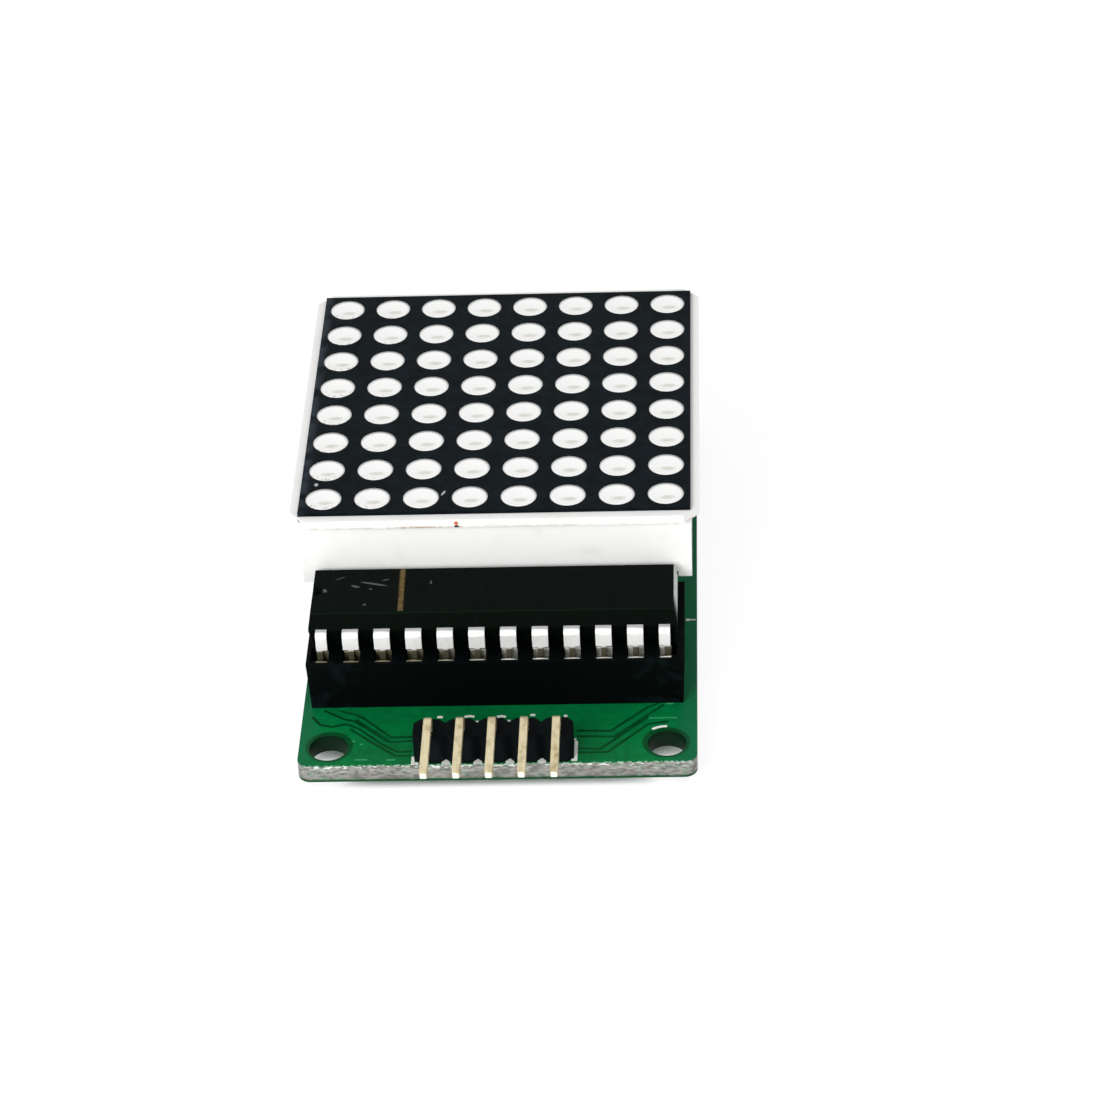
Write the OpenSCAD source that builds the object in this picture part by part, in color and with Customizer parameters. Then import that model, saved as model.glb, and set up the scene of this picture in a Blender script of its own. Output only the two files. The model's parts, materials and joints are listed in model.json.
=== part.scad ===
// 8 x 8 LED dot matrix module: a display plugged into two socket strips, a
// 24-pin driver chip in its own socket and a five-pin input header, all on one
// circuit board. X runs across the board, Y from the header to the display, Z up.

/* [Board] */
// Width of the circuit board
board_w = 31.8; // [28:0.1:44]
// Length of the circuit board
board_l = 50; // [50:0.5:70]
// Thickness of the circuit board
board_t = 1.6; // [0.8:0.1:3.2]
// Radius of the board's corners
board_corner_r = 1; // [0.4:0.1:2]
// Diameter of the two mounting holes
mount_hole_d = 3.1; // [2:0.1:3.4]
// Distance of the mounting holes from the side edges
mount_hole_side = 2.4; // [2.2:0.1:4]
// Distance of the mounting holes from the front edge
mount_hole_inset = 2.3; // [2.2:0.1:3]
// How far the board stands to the right of the display's middle
board_shift = 0.2; // [-0.3:0.05:0.3]
// Length of each solder joint below the board
joint_h = 1; // [0.8:0.1:2.5]

/* [Input header] */
// Number of header pins
header_pins = 5; // [3:1:6]
// Distance between neighbouring pins of the header and the socket strips
pitch = 2.54; // [2:0.01:2.54]
// Side of a square header pin
header_pin_w = 0.64; // [0.4:0.02:0.8]
// Depth and height of the header's plastic block
header_block = 2.54; // [2:0.02:3]
// Size of the chamfer between two segments of the block
header_chamfer = 0.5; // [0.2:0.05:0.7]
// Gap from the front edge of the board to the block
header_setback = 0.15; // [0:0.05:0.6]
// Gap from the block up to the bent part of a pin
header_bend_gap = 0.72; // [0.1:0.01:1]
// How far the pins stick out past the front edge of the board
header_reach = 5.6; // [2:0.1:9]

/* [Driver chip] */
// Number of leads on each side of the chip
chip_leads = 12; // [7:1:12]
// Distance between neighbouring leads of the chip
chip_pitch = 2.54; // [2.2:0.01:2.54]
// Distance between the two rows of leads
chip_row_gap = 7.62; // [7.4:0.01:7.8]
// Thickness of the chip's plastic body
chip_h = 3.3; // [2.6:0.1:4]
// Width of the body at its parting line
chip_w = 6.4; // [5.6:0.1:6.8]
// Body length past the outermost leads at the parting line
chip_end = 0.85; // [0.8:0.01:1.3]
// How far each side of the body leans in from the parting line
chip_draft = 0.4; // [0.1:0.05:0.6]
// How far each end of the body leans in from the parting line
chip_end_draft = 0.25; // [0.1:0.05:0.5]
// Height of the parting line as a share of the body's thickness
chip_parting = 0.52; // [0.4:0.01:0.6]
// How far the chip and its contacts stand to the right of the socket's middle
chip_shift = -0.15; // [-0.15:0.05:0.15]
// Radius of the notch that marks the first lead
chip_notch_r = 0.8; // [0.4:0.1:1.2]
// Depth of the notch
chip_notch_depth = 0.6; // [0.2:0.1:1]
// Thickness of a lead
lead_t = 0.25; // [0.15:0.01:0.35]
// Width of a lead's shoulder
lead_shoulder_w = 1.3; // [1:0.05:1.6]
// Height of the shoulder's lower end above the socket
lead_shoulder_gap = 0.5; // [0.1:0.05:0.8]
// Width of a lead's narrow tip
lead_tip_w = 0.46; // [0.3:0.02:0.5]
// Length of a lead inside the chip's body
lead_embed = 1.2; // [0.5:0.1:2]

/* [Chip socket] */
// Height of the socket frame
socket_h = 4.5; // [4.2:0.1:6]
// Distance from a row of contacts out to the side of the frame
socket_side = 1.27; // [1.2:0.01:1.6]
// Frame length past the outermost contacts
socket_end = 1.23; // [1:0.01:1.6]
// Wall between the contact slots and the openings in the frame
socket_wall = 0.38; // [0.2:0.02:0.6]
// Number of bars across the frame between its ends
socket_bars = 2; // [1:1:3]
// Width of a bar across the frame
socket_bar_w = 1.5; // [1:0.1:2.5]
// Gap between the header's block and the socket
socket_gap = 4.64; // [1:0.02:6]

/* [LED display] */
// Distance between neighbouring dots
dot_pitch = 3.96; // [3.8:0.02:4]
// Diameter of a dot
dot_d = 2.95; // [2:0.05:3.4]
// Width of the white rim around the black face
rim_w = 0.7; // [0.4:0.05:1.5]
// Height of the rim, from its top to its underside
rim_h = 0.8; // [0.5:0.1:2]
// Size of the rim's cut corners
rim_chamfer = 1.25; // [0.5:0.05:1.8]
// How far the lower part of the display stands in from the rim
rim_overhang = 0.7; // [0.2:0.05:1.2]
// Height of the display without its black face
display_h = 6.15; // [5.5:0.05:9]
// Width of the feet at the display's corners
foot_w = 1.1; // [0.6:0.05:1.4]
// Height of the feet
foot_h = 0.5; // [0.2:0.05:1]
// Thickness of the black face
face_t = 0.3; // [0.1:0.05:0.6]
// Depth of the reflector cavities
cavity_h = 3; // [2:0.1:3.5]
// Diameter of a cavity at its floor
cavity_floor_d = 1.8; // [1.2:0.1:1.9]
// Wall of the display around its back
display_wall = 1; // [0.6:0.1:1.2]
// Gap between the chip's body and the display behind it
display_gap = 0.26; // [0.1:0.02:1]
// Gap between the chip's leads and the display above them
lead_clearance = 0.2; // [0.2:0.05:2]

/* [Display sockets] */
// Width of a socket strip
strip_w = 2.54; // [2.3:0.02:2.6]
// Distance of each row of display pins in from the edge of the black face
pin_row_inset = 3.8; // [3.4:0.1:5]
// Diameter of a display pin
display_pin_d = 0.5; // [0.3:0.02:0.6]

/* [Small parts] */
// Diameter of the resistor's ends
resistor_d = 2.3; // [1.6:0.1:2.6]
// Length of the resistor's body
resistor_l = 6.3; // [4:0.1:7]
// Distance between the resistor's two holes
resistor_span = 10.16; // [9:0.02:12.7]
// Diameter of the electrolytic capacitor
can_d = 4; // [3:0.1:5]
// Height of the electrolytic capacitor
can_h = 5.4; // [4:0.1:6]
// Diameter of the ceramic capacitor
disc_d = 4.2; // [3:0.1:4.4]
// Thickness of the ceramic capacitor
disc_t = 2.2; // [1.4:0.1:2.6]
// Diameter of the leads of the small parts
wire_d = 0.5; // [0.3:0.05:0.6]

/* [Hidden] */
$fn = 48;
eps = 0.01;

// Board levels: the solder joints stand on Z = 0
board_bottom_z = joint_h;
board_top_z = board_bottom_z + board_t;
joint_cap = 0.2;
stub_h = joint_h - joint_cap;
through = board_t + stub_h;
hole_gap = 0.12;

// Widths of the solder joints at the board and at their tips
header_joint_d = [1.9, 0.8];
chip_joint_d = [1.6, 0.8];
strip_joint_d = [1.7, 0.9];
wire_joint_d = [1.4, 0.8];

// Header
header_y = header_setback + header_block / 2;
header_run_z = header_block + header_bend_gap;
header_bend_r = 0.2;
header_tip_l = 0.3;
header_tip_cut = 0.08;

// Chip and its socket
row_half = chip_row_gap / 2;
socket_w = chip_row_gap + 2 * socket_side;
socket_y = header_setback + header_block + socket_gap + socket_w / 2;
lead_outer = row_half + lead_t / 2;
chip_span = (chip_leads - 1) * chip_pitch;
chip_l = chip_span + 2 * chip_end;
chip_seat_gap = 0.25;
chip_bottom_z = socket_h + chip_seat_gap;
chip_top_z = chip_bottom_z + chip_h;
chip_mid_z = chip_bottom_z + chip_h * chip_parting;
lead_top_z = chip_mid_z + lead_t / 2;
lead_shoulder_z = socket_h + lead_shoulder_gap;
lead_bend_r = 0.2;
lead_tip_l = 3;
half_shoulder = 0.25;
socket_l = chip_span + 2 * socket_end;
socket_draft = 0.18;
slot_side_gap = 0.15;
slot_wall = 0.25;
slot_outer = socket_side - slot_wall;
slot_inner = 0.95;
socket_window_w = 2 * (row_half - slot_inner - socket_wall);
socket_bar_low = 0.5;
socket_bar_top = 3.2;
socket_window_gap = 1.4;

// Contact of the chip socket, in the plane across the row
contact_w = 1.3;
contact_t = 0.18;
contact_floor = 0.9;
contact_leg_w = 0.5;
contact_leg_t = 0.25;
contact_sink = 0.15;
contact_top_z = socket_h - contact_sink;
contact_grip_depth = 1.5;
contact_grip_z = socket_h - contact_grip_depth;
contact_base_half = 0.6;
slot_w = contact_w + slot_side_gap;
contact_flare_gap = 0.2;
contact_lip = 0.11;
contact_flare = slot_outer - contact_flare_gap - contact_lip;

// Display
dots = 8;
face_w = dots * dot_pitch;
rim_outer = face_w + 2 * rim_w;
display_low_w = rim_outer - 2 * rim_overhang;
display_y = socket_y + chip_w / 2 + display_gap + display_low_w / 2;
strip_h = lead_top_z + lead_clearance;
display_z = strip_h;
rim_top_z = display_z + display_h;
cavity_floor_z = rim_top_z - cavity_h;
substrate_t = 1;
substrate_w = display_low_w - 2 * display_wall;
substrate_z = cavity_floor_z - substrate_t;
potting_recess = 0.4;
potting_z = display_z + potting_recess;
die_w = 0.36;
die_h = 0.2;
dot_sink = 0.05;
dot_first = -(dots - 1) / 2 * dot_pitch;

// Socket strips of the display
strip_row = face_w / 2 - pin_row_inset;
strip_end = 0.3;
strip_l = dots * pitch + 2 * strip_end;
strip_floor = 0.8;
strip_roof = 0.9;
strip_cavity_w = 1.3;
strip_entry_gap = 0.3;
strip_entry_d = display_pin_d + strip_entry_gap;
fork_w = 1.1;
fork_t = 0.2;
fork_base_t = 0.25;
fork_gap = 0.3;
fork_h = strip_h - strip_floor - strip_roof - fork_gap;
display_pin_lift = 1.5;
display_pin_low_z = strip_floor + display_pin_lift;
fork_leg_w = 0.6;
fork_leg_t = 0.3;

// Holes in the board
header_hole_d = header_pin_w * sqrt(2) + hole_gap;
contact_hole_d = norm([contact_leg_w, contact_leg_t]) + hole_gap;
fork_hole_d = norm([fork_leg_w, fork_leg_t]) + hole_gap;
wire_hole_d = wire_d + hole_gap;

// Small parts between the two strips
resistor_offset = 3;
can_offset = 4;
disc_offset = 4;
resistor_x = -5.5;
resistor_y = display_y - resistor_offset;
resistor_waist = 0.15;
resistor_cap_l = 1.6;
resistor_bevel = 0.3;
resistor_neck = 0.2;
resistor_z = resistor_d / 2;
can_x = 8;
can_y = display_y - can_offset;
can_lead_gap = 1.5;
sleeve_t = 0.1;
bung_h = 0.8;
disc_x = 8;
disc_y = display_y + disc_offset;
disc_stand = 1.1;
disc_z = disc_stand + disc_d / 2;
disc_lead_gap = 2.54;
wire_embed = 1;
wire_bend_r = 0.5;

// The object stands on Z = 0 and its box is centred on X = Y = 0
rear_y = max(board_l, display_y + rim_outer / 2);
board_front_y = (header_reach - rear_y) / 2;

header_places = [for (i = [0 : header_pins - 1]) (i - (header_pins - 1) / 2) * pitch];
lead_places = [for (i = [0 : chip_leads - 1]) i * chip_pitch - chip_span / 2];
strip_places = [for (i = [0 : dots - 1]) (i - (dots - 1) / 2) * pitch];
dot_places = [for (i = [0 : dots - 1]) dot_first + i * dot_pitch];

// From the board's own frame (front edge at Y = 0, top at Z = 0) to the object's
module on_board() {
    translate([0, board_front_y, board_top_z]) children();
}

// An outline drawn in Y and Z, drawn out along X and centred on it
module across(width) {
    rotate([90, 0, 90]) linear_extrude(width, center = true) children();
}

// An outline drawn in X and Z, drawn out along Y and centred on it
module along(length) {
    rotate([90, 0, 0]) linear_extrude(length, center = true) children();
}

module rounded_outline(w, l, r) {
    square([w - 2 * r, l], center = true);
    square([w, l - 2 * r], center = true);
    for (x = [-1, 1], y = [-1, 1])
        translate([x * (w / 2 - r), y * (l / 2 - r)]) circle(r);
}

module cut_corner_outline(w, l, c) {
    polygon([[-w / 2 + c, -l / 2], [w / 2 - c, -l / 2], [w / 2, -l / 2 + c],
             [w / 2, l / 2 - c], [w / 2 - c, l / 2], [-w / 2 + c, l / 2],
             [-w / 2, l / 2 - c], [-w / 2, -l / 2 + c]]);
}

// A strip bent through a quarter turn: its outer corner is at the origin, one
// leg runs along +Y and the other down
module elbow_outline(run, drop, t, r_in) {
    r_out = r_in + t;
    translate([r_out, -t]) square([run - r_out, t]);
    translate([0, -drop]) square([t, drop - r_out]);
    translate([r_out, -r_out]) intersection() {
        difference() {
            circle(r_out);
            circle(r_in);
        }
        translate([-r_out, 0]) square(r_out);
    }
}

// Children at each hole of one kind of part, in the board's frame
module at_header_pins() {
    for (x = header_places) translate([x, header_y, 0]) children();
}

module at_chip_leads() {
    for (x = lead_places, side = [-1, 1])
        translate([chip_shift + x, socket_y, 0]) mirror([0, side > 0 ? 1 : 0, 0])
            translate([0, -row_half, 0]) children();
}

module at_strip_row(side) {
    for (x = strip_places) translate([x, display_y + side * strip_row, 0]) children();
}

module at_resistor_ends() {
    for (side = [-1, 1]) translate([resistor_x + side * resistor_span / 2, resistor_y, 0]) children();
}

module at_can_leads() {
    for (side = [-1, 1]) translate([can_x + side * can_lead_gap / 2, can_y, 0]) children();
}

module at_disc_leads() {
    for (side = [-1, 1]) translate([disc_x + side * disc_lead_gap / 2, disc_y, 0]) children();
}

module at_dots() {
    for (x = dot_places, y = dot_places) translate([x, display_y + y, 0]) children();
}

// ---- Board and solder ----

module board_hole(d) {
    translate([0, 0, -board_t - eps]) cylinder(h = board_t + 2 * eps, d = d);
}

module circuit_board() {
    color("#00693a") on_board() difference() {
        translate([board_shift, board_l / 2, -board_t]) linear_extrude(board_t)
            rounded_outline(board_w, board_l, board_corner_r);
        for (side = [-1, 1])
            translate([board_shift + side * (board_w / 2 - mount_hole_side), mount_hole_inset, 0])
                board_hole(mount_hole_d);
        at_header_pins() board_hole(header_hole_d);
        at_chip_leads() board_hole(contact_hole_d);
        for (side = [-1, 1]) at_strip_row(side) board_hole(fork_hole_d);
        at_resistor_ends() board_hole(wire_hole_d);
        at_can_leads() board_hole(wire_hole_d);
        at_disc_leads() board_hole(wire_hole_d);
    }
}

// Radius of a solder joint's hollow flank, from its pad down to its round tip
function flank(t, pad_r, tip_r) = tip_r + (pad_r - tip_r) * pow(1 - t, 2);

// One joint under the board, without the leg that it holds
module solder_joint(d) {
    steps = 5;
    flank_h = joint_h - joint_cap / 2;
    tip_r = d[1] / 2;
    outline = concat(
        [[0, 0]],
        [for (i = [0 : steps]) [flank(i / steps, d[0] / 2, tip_r), -flank_h * i / steps]],
        [[tip_r / 2, -joint_h], [0, -joint_h]]);
    translate([0, 0, -board_t]) rotate_extrude() polygon(outline);
}

module header_leg() {
    translate([-header_pin_w / 2, -header_pin_w / 2, -through])
        cube([header_pin_w, header_pin_w, through]);
}

module contact_leg(h) {
    translate([-contact_leg_w / 2, -contact_leg_t / 2, -through])
        cube([contact_leg_w, contact_leg_t, through + h]);
}

module fork_leg(h) {
    translate([-fork_leg_w / 2, -fork_leg_t / 2, -through])
        cube([fork_leg_w, fork_leg_t, through + h]);
}

module wire_leg(h) {
    translate([0, 0, -through]) cylinder(h = through + h, d = wire_d);
}

module header_solder() {
    color("#c9c9c4") on_board() at_header_pins() difference() {
        solder_joint(header_joint_d);
        header_leg();
    }
}

module chip_solder() {
    color("#c9c9c4") on_board() at_chip_leads() difference() {
        solder_joint(chip_joint_d);
        contact_leg(0);
    }
}

module strip_solder() {
    color("#c9c9c4") on_board() for (side = [-1, 1]) at_strip_row(side) difference() {
        solder_joint(strip_joint_d);
        fork_leg(0);
    }
}

module small_part_solder() {
    color("#c9c9c4") on_board() {
        at_resistor_ends() wire_solder();
        at_can_leads() wire_solder();
        at_disc_leads() wire_solder();
    }
}

module wire_solder() {
    difference() {
        solder_joint(wire_joint_d);
        wire_leg(0);
    }
}

// ---- Input header ----

module header_block() {
    color("#15171a") on_board() difference() {
        for (x = header_places) translate([x, header_y, 0]) linear_extrude(header_block)
            cut_corner_outline(pitch, header_block, header_chamfer);
        at_header_pins() translate([-header_pin_w / 2, -header_pin_w / 2, -eps])
            cube([header_pin_w, header_pin_w, header_block + 2 * eps]);
    }
}

// A straight pin whose upper half is bent forward over the block
module header_pin(i) {
    back = header_pin_w / 2;
    run = header_y + back + header_reach;
    top = header_run_z + header_pin_w;
    color("#c8b683") on_board() translate([header_places[i - 1], header_y + back, top]) intersection() {
        across(header_pin_w) mirror([1, 0]) difference() {
            elbow_outline(run, top + through, header_pin_w, header_bend_r);
            tip_cut(run, 0, 1);
            tip_cut(run, -header_pin_w, -1);
        }
        translate([0, 0, -top - through]) linear_extrude(top + through) mirror([0, 1]) difference() {
            translate([-header_pin_w / 2, 0]) square([header_pin_w, run]);
            for (x = [-1, 1]) rotate(90) tip_cut(run, x * header_pin_w / 2, x);
        }
    }
}

// The wedge taken off one side of a pin's end; out is the way that side faces
module tip_cut(run, side, out) {
    polygon([[run - header_tip_l, side], [run + eps, side - out * header_tip_cut],
             [run + eps, side + out], [run - header_tip_l, side + out]]);
}

// ---- Driver chip and its socket ----

module contact_outline() {
    grip = lead_t / 2;
    for (m = [0, 1]) mirror([m, 0]) polygon([
        [0, contact_floor], [contact_base_half, contact_floor],
        [contact_base_half, contact_floor + contact_t],
        [grip + contact_t, contact_grip_z],
        [contact_flare + contact_lip, contact_top_z], [contact_flare - contact_lip, contact_top_z],
        [grip, contact_grip_z],
        [contact_base_half - 1.4 * contact_t, contact_floor + contact_t], [0, contact_floor + contact_t]]);
}

module chip_socket_contacts() {
    color("#b9a878") on_board() at_chip_leads() {
        across(contact_w) contact_outline();
        contact_leg(contact_floor + contact_t / 2);
    }
}

module chip_socket() {
    color("#0d0e10") on_board() difference() {
        translate([0, socket_y, 0]) intersection() {
            translate([0, 0, socket_h / 2]) cube([socket_l, socket_w, socket_h], center = true);
            along(socket_w + 1) polygon([
                [-socket_l / 2 + socket_draft, 0], [socket_l / 2 - socket_draft, 0],
                [socket_l / 2, socket_h], [-socket_l / 2, socket_h]]);
        }
        translate([0, socket_y, 0]) socket_windows();
        at_chip_leads() {
            translate([-slot_w / 2, -slot_outer, contact_floor])
                cube([slot_w, slot_outer + slot_inner, socket_h]);
            translate([-contact_leg_w / 2, -contact_leg_t / 2, -eps])
                cube([contact_leg_w, contact_leg_t, contact_floor + 2 * eps]);
        }
    }
}

// Openings between the rails, with low bars left between them
module socket_windows() {
    count = socket_bars + 1;
    inner_l = socket_l - 2 * socket_window_gap;
    window_l = (inner_l - socket_bars * socket_bar_w) / count;
    for (i = [0 : socket_bars])
        translate([-inner_l / 2 + i * (window_l + socket_bar_w), -socket_window_w / 2, -eps])
            cube([window_l, socket_window_w, socket_h + 2 * eps]);
    translate([-inner_l / 2, -socket_window_w / 2, socket_bar_top])
        cube([inner_l, socket_window_w, socket_h]);
    translate([-inner_l / 2, -socket_window_w / 2, -eps])
        cube([inner_l, socket_window_w, socket_bar_low + eps]);
}

// Side view of the chip's body: it leans in above and below the lead frame
module chip_outline(w, draft) {
    low = w / 2 - draft;
    polygon([
        [-low, chip_bottom_z], [low, chip_bottom_z],
        [w / 2, lead_top_z - lead_t], [w / 2, lead_top_z],
        [low, chip_top_z], [-low, chip_top_z],
        [-w / 2, lead_top_z], [-w / 2, lead_top_z - lead_t]]);
}

module chip_body() {
    color("#121416") on_board() difference() {
        translate([chip_shift, socket_y, 0]) intersection() {
            across(chip_l) chip_outline(chip_w, chip_draft);
            along(chip_w) chip_outline(chip_l, chip_end_draft);
        }
        translate([chip_shift - chip_l / 2 + chip_end_draft, socket_y, chip_top_z - chip_notch_depth])
            cylinder(h = chip_h, r = chip_notch_r);
        for (i = [1 : 2 * chip_leads]) lead_in_place(i) lead_root(i);
    }
}

// Leads count round the chip from the notch: along the front, back along the rear
module lead_in_place(i) {
    front = i <= chip_leads;
    place = front ? i - 1 : 2 * chip_leads - i;
    translate([chip_shift + lead_places[place], socket_y, 0]) mirror([0, front ? 0 : 1, 0]) children();
}

// Low and high X of lead i's shoulder: the outermost leads are cut off outside
function shoulder(i) =
    let (place = i <= chip_leads ? i - 1 : 2 * chip_leads - i)
    [place == 0 ? -half_shoulder : -lead_shoulder_w / 2,
     place == chip_leads - 1 ? half_shoulder : lead_shoulder_w / 2];

// The flat part of a lead inside the body
module lead_root(i) {
    s = shoulder(i);
    translate([s[0], -chip_w / 2 - chip_draft, lead_top_z - lead_t])
        cube([s[1] - s[0], lead_embed + chip_draft, lead_t]);
}

module chip_lead(i) {
    s = shoulder(i);
    tip_z = socket_h - lead_tip_l;
    run = lead_outer - chip_w / 2 + lead_embed;
    color("#e4e6e6") on_board() lead_in_place(i) {
        translate([(s[0] + s[1]) / 2, -lead_outer, lead_top_z]) across(s[1] - s[0])
            elbow_outline(run, lead_top_z - lead_shoulder_z, lead_t, lead_bend_r);
        translate([-lead_tip_w / 2, -lead_outer, tip_z])
            cube([lead_tip_w, lead_t, lead_shoulder_z - tip_z]);
    }
}

// ---- Display ----

module dot_hole(h) {
    cylinder(h = h, d = dot_d);
}

module reflector_cavity() {
    translate([0, 0, cavity_floor_z]) cylinder(h = cavity_h, d1 = cavity_floor_d, d2 = dot_d);
}

module display_housing() {
    color("#f1f1ee") on_board() difference() {
        translate([0, display_y, 0]) {
            translate([-display_low_w / 2, -display_low_w / 2, display_z])
                cube([display_low_w, display_low_w, display_h]);
            translate([0, 0, rim_top_z - rim_h]) linear_extrude(rim_h)
                cut_corner_outline(rim_outer, rim_outer, rim_chamfer);
            for (mx = [0, 1], my = [0, 1]) mirror([mx, 0, 0]) mirror([0, my, 0])
                translate([display_low_w / 2 - foot_w, display_low_w / 2 - foot_w, display_z - foot_h])
                    cube([foot_w, foot_w, foot_h + eps]);
        }
        translate([-substrate_w / 2, display_y - substrate_w / 2, display_z - foot_h - eps])
            cube([substrate_w, substrate_w, cavity_floor_z - display_z + foot_h + eps]);
        at_dots() {
            reflector_cavity();
            translate([0, 0, cavity_floor_z - eps]) cylinder(h = 2 * eps, d = cavity_floor_d);
            translate([0, 0, rim_top_z - eps]) dot_hole(2 * eps);
        }
    }
}

module display_face() {
    color("#14181b") on_board() difference() {
        translate([-face_w / 2, display_y - face_w / 2, rim_top_z]) cube([face_w, face_w, face_t]);
        at_dots() translate([0, 0, rim_top_z - eps]) dot_hole(face_t + 2 * eps);
    }
}

// Cast epoxy in each cavity and through the face, around its die
module dot_epoxy() {
    color("#fbfbfa") on_board() at_dots() difference() {
        union() {
            reflector_cavity();
            translate([0, 0, rim_top_z]) dot_hole(face_t - dot_sink);
        }
        led_die();
    }
}

module led_die() {
    translate([-die_w / 2, -die_w / 2, cavity_floor_z]) cube([die_w, die_w, die_h]);
}

module led_dice() {
    color("#d9c9c4") on_board() at_dots() led_die();
}

module pin_rows(low, high) {
    for (side = [-1, 1]) at_strip_row(side)
        translate([0, 0, low]) cylinder(h = high - low, d = display_pin_d);
}

// A plate that fills the back of the housing between two levels, around the pins
module back_plate(low, high) {
    difference() {
        translate([-substrate_w / 2, display_y - substrate_w / 2, low])
            cube([substrate_w, substrate_w, high - low]);
        pin_rows(low - eps, high + eps);
    }
}

module display_substrate() {
    color("#d8d6c4") on_board() back_plate(substrate_z, cavity_floor_z);
}

module display_potting() {
    color("#e6e4da") on_board() back_plate(potting_z, substrate_z);
}

module display_pins() {
    color("#d9dadb") on_board() pin_rows(display_pin_low_z, cavity_floor_z);
}

// ---- Socket strips that carry the display ----

module strip(side) {
    color("#101214") on_board() difference() {
        translate([-strip_l / 2, display_y + side * strip_row - strip_w / 2, 0])
            cube([strip_l, strip_w, strip_h]);
        at_strip_row(side) {
            translate([-strip_cavity_w / 2, -strip_cavity_w / 2, strip_floor])
                cube([strip_cavity_w, strip_cavity_w, strip_h - strip_floor - strip_roof]);
            translate([0, 0, strip_h - strip_roof - eps])
                cylinder(h = strip_roof + 2 * eps, d = strip_entry_d);
            translate([-fork_leg_w / 2, -fork_leg_t / 2, -eps])
                cube([fork_leg_w, fork_leg_t, strip_floor + 2 * eps]);
        }
    }
}

// A contact with two tines that grip a display pin
module fork() {
    fork_leg(strip_floor + fork_base_t / 2);
    translate([-fork_w / 2, -fork_w / 2, strip_floor]) cube([fork_w, fork_w, fork_base_t]);
    for (side = [-1, 1])
        translate([-fork_w / 2, side * (display_pin_d + fork_t) / 2 - fork_t / 2, strip_floor])
            cube([fork_w, fork_t, fork_h]);
}

module strip_contacts(side) {
    color("#c6b98c") on_board() at_strip_row(side) fork();
}

// ---- Small parts under the display ----

// Children that stand on Z, laid along X with their middle at the resistor's
module along_resistor() {
    translate([resistor_x, resistor_y, resistor_z]) rotate([0, 90, 0]) children();
}

module resistor() {
    half = resistor_l / 2;
    end_r = resistor_d / 2;
    waist_r = end_r - resistor_waist;
    waist_half = half - resistor_cap_l;
    color("#c9a46a") on_board() along_resistor() difference() {
        rotate_extrude() polygon([
            [0, -half], [end_r - resistor_bevel, -half], [end_r, -half + resistor_bevel],
            [end_r, -waist_half - resistor_neck], [waist_r, -waist_half],
            [waist_r, waist_half], [end_r, waist_half + resistor_neck],
            [end_r, half - resistor_bevel], [end_r - resistor_bevel, half], [0, half]]);
        for (side = [-1, 1]) translate([0, 0, side * half])
            cylinder(h = 2 * wire_embed, d = wire_d, center = true);
    }
}

module resistor_leads() {
    start = resistor_l / 2 - wire_embed;
    bend_x = resistor_span / 2 - wire_bend_r;
    color("#d5d6d6") on_board() for (m = [0, 1])
        translate([resistor_x, resistor_y, 0]) mirror([m, 0, 0]) {
            translate([start, 0, resistor_z]) rotate([0, 90, 0]) cylinder(h = bend_x - start, d = wire_d);
            translate([bend_x, 0, resistor_z - wire_bend_r]) rotate([90, 0, 0])
                rotate_extrude(angle = 90) translate([wire_bend_r, 0]) circle(d = wire_d);
            translate([resistor_span / 2, 0, 0]) wire_leg(resistor_z - wire_bend_r);
        }
}

module electrolytic_sleeve() {
    color("#20232b") on_board() translate([can_x, can_y, 0]) difference() {
        cylinder(h = can_h, d = can_d);
        translate([0, 0, -eps]) cylinder(h = can_h + 2 * eps, d = can_d - 2 * sleeve_t);
    }
}

module electrolytic_can() {
    can_inner_d = can_d - 2 * sleeve_t;
    score_w = 0.25;
    score_depth = 0.15;
    color("#cfd2d4") on_board() translate([can_x, can_y, bung_h]) difference() {
        cylinder(h = can_h - bung_h, d = can_inner_d);
        for (a = [0, 90]) rotate(a) translate([-can_inner_d / 3, -score_w / 2, can_h - bung_h - score_depth])
            cube([can_inner_d * 2 / 3, score_w, 1]);
        for (side = [-1, 1]) translate([side * can_lead_gap / 2, 0, -eps])
            cylinder(h = wire_embed + eps, d = wire_d);
    }
}

module electrolytic_bung() {
    color("#26272a") on_board() translate([can_x, can_y, 0]) difference() {
        cylinder(h = bung_h, d = can_d - 2 * sleeve_t);
        for (side = [-1, 1]) translate([side * can_lead_gap / 2, 0, -eps])
            cylinder(h = bung_h + 2 * eps, d = wire_d);
    }
}

module electrolytic_leads() {
    color("#d5d6d6") on_board() at_can_leads() wire_leg(bung_h + wire_embed);
}

module ceramic_leads() {
    at_disc_leads() wire_leg(disc_z);
}

module ceramic_capacitor() {
    rim_r = disc_t / 2;
    color("#c98a2e") on_board() difference() {
        translate([disc_x, disc_y, disc_z]) rotate([90, 0, 0]) rotate_extrude() {
            translate([disc_d / 2 - rim_r, 0]) intersection() {
                circle(rim_r);
                translate([0, -rim_r]) square([rim_r, disc_t]);
            }
            translate([0, -rim_r]) square([disc_d / 2 - rim_r, disc_t]);
        }
        ceramic_leads();
    }
}

module ceramic_capacitor_leads() {
    color("#d5d6d6") on_board() ceramic_leads();
}

circuit_board();
header_block();
chip_socket();
chip_socket_contacts();
chip_body();
display_housing();
display_face();
dot_epoxy();
led_dice();
display_substrate();
display_potting();
display_pins();
strip(-1);  // front_strip
strip(1);  // rear_strip
strip_contacts(-1);  // front_strip_contacts
strip_contacts(1);  // rear_strip_contacts
resistor();
resistor_leads();
electrolytic_can();
electrolytic_sleeve();
electrolytic_bung();
electrolytic_leads();
ceramic_capacitor();
ceramic_capacitor_leads();
header_solder();
chip_solder();
strip_solder();
small_part_solder();
for (i = [1 : header_pins]) header_pin(i);
for (i = [1 : 2 * chip_leads]) chip_lead(i);
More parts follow.
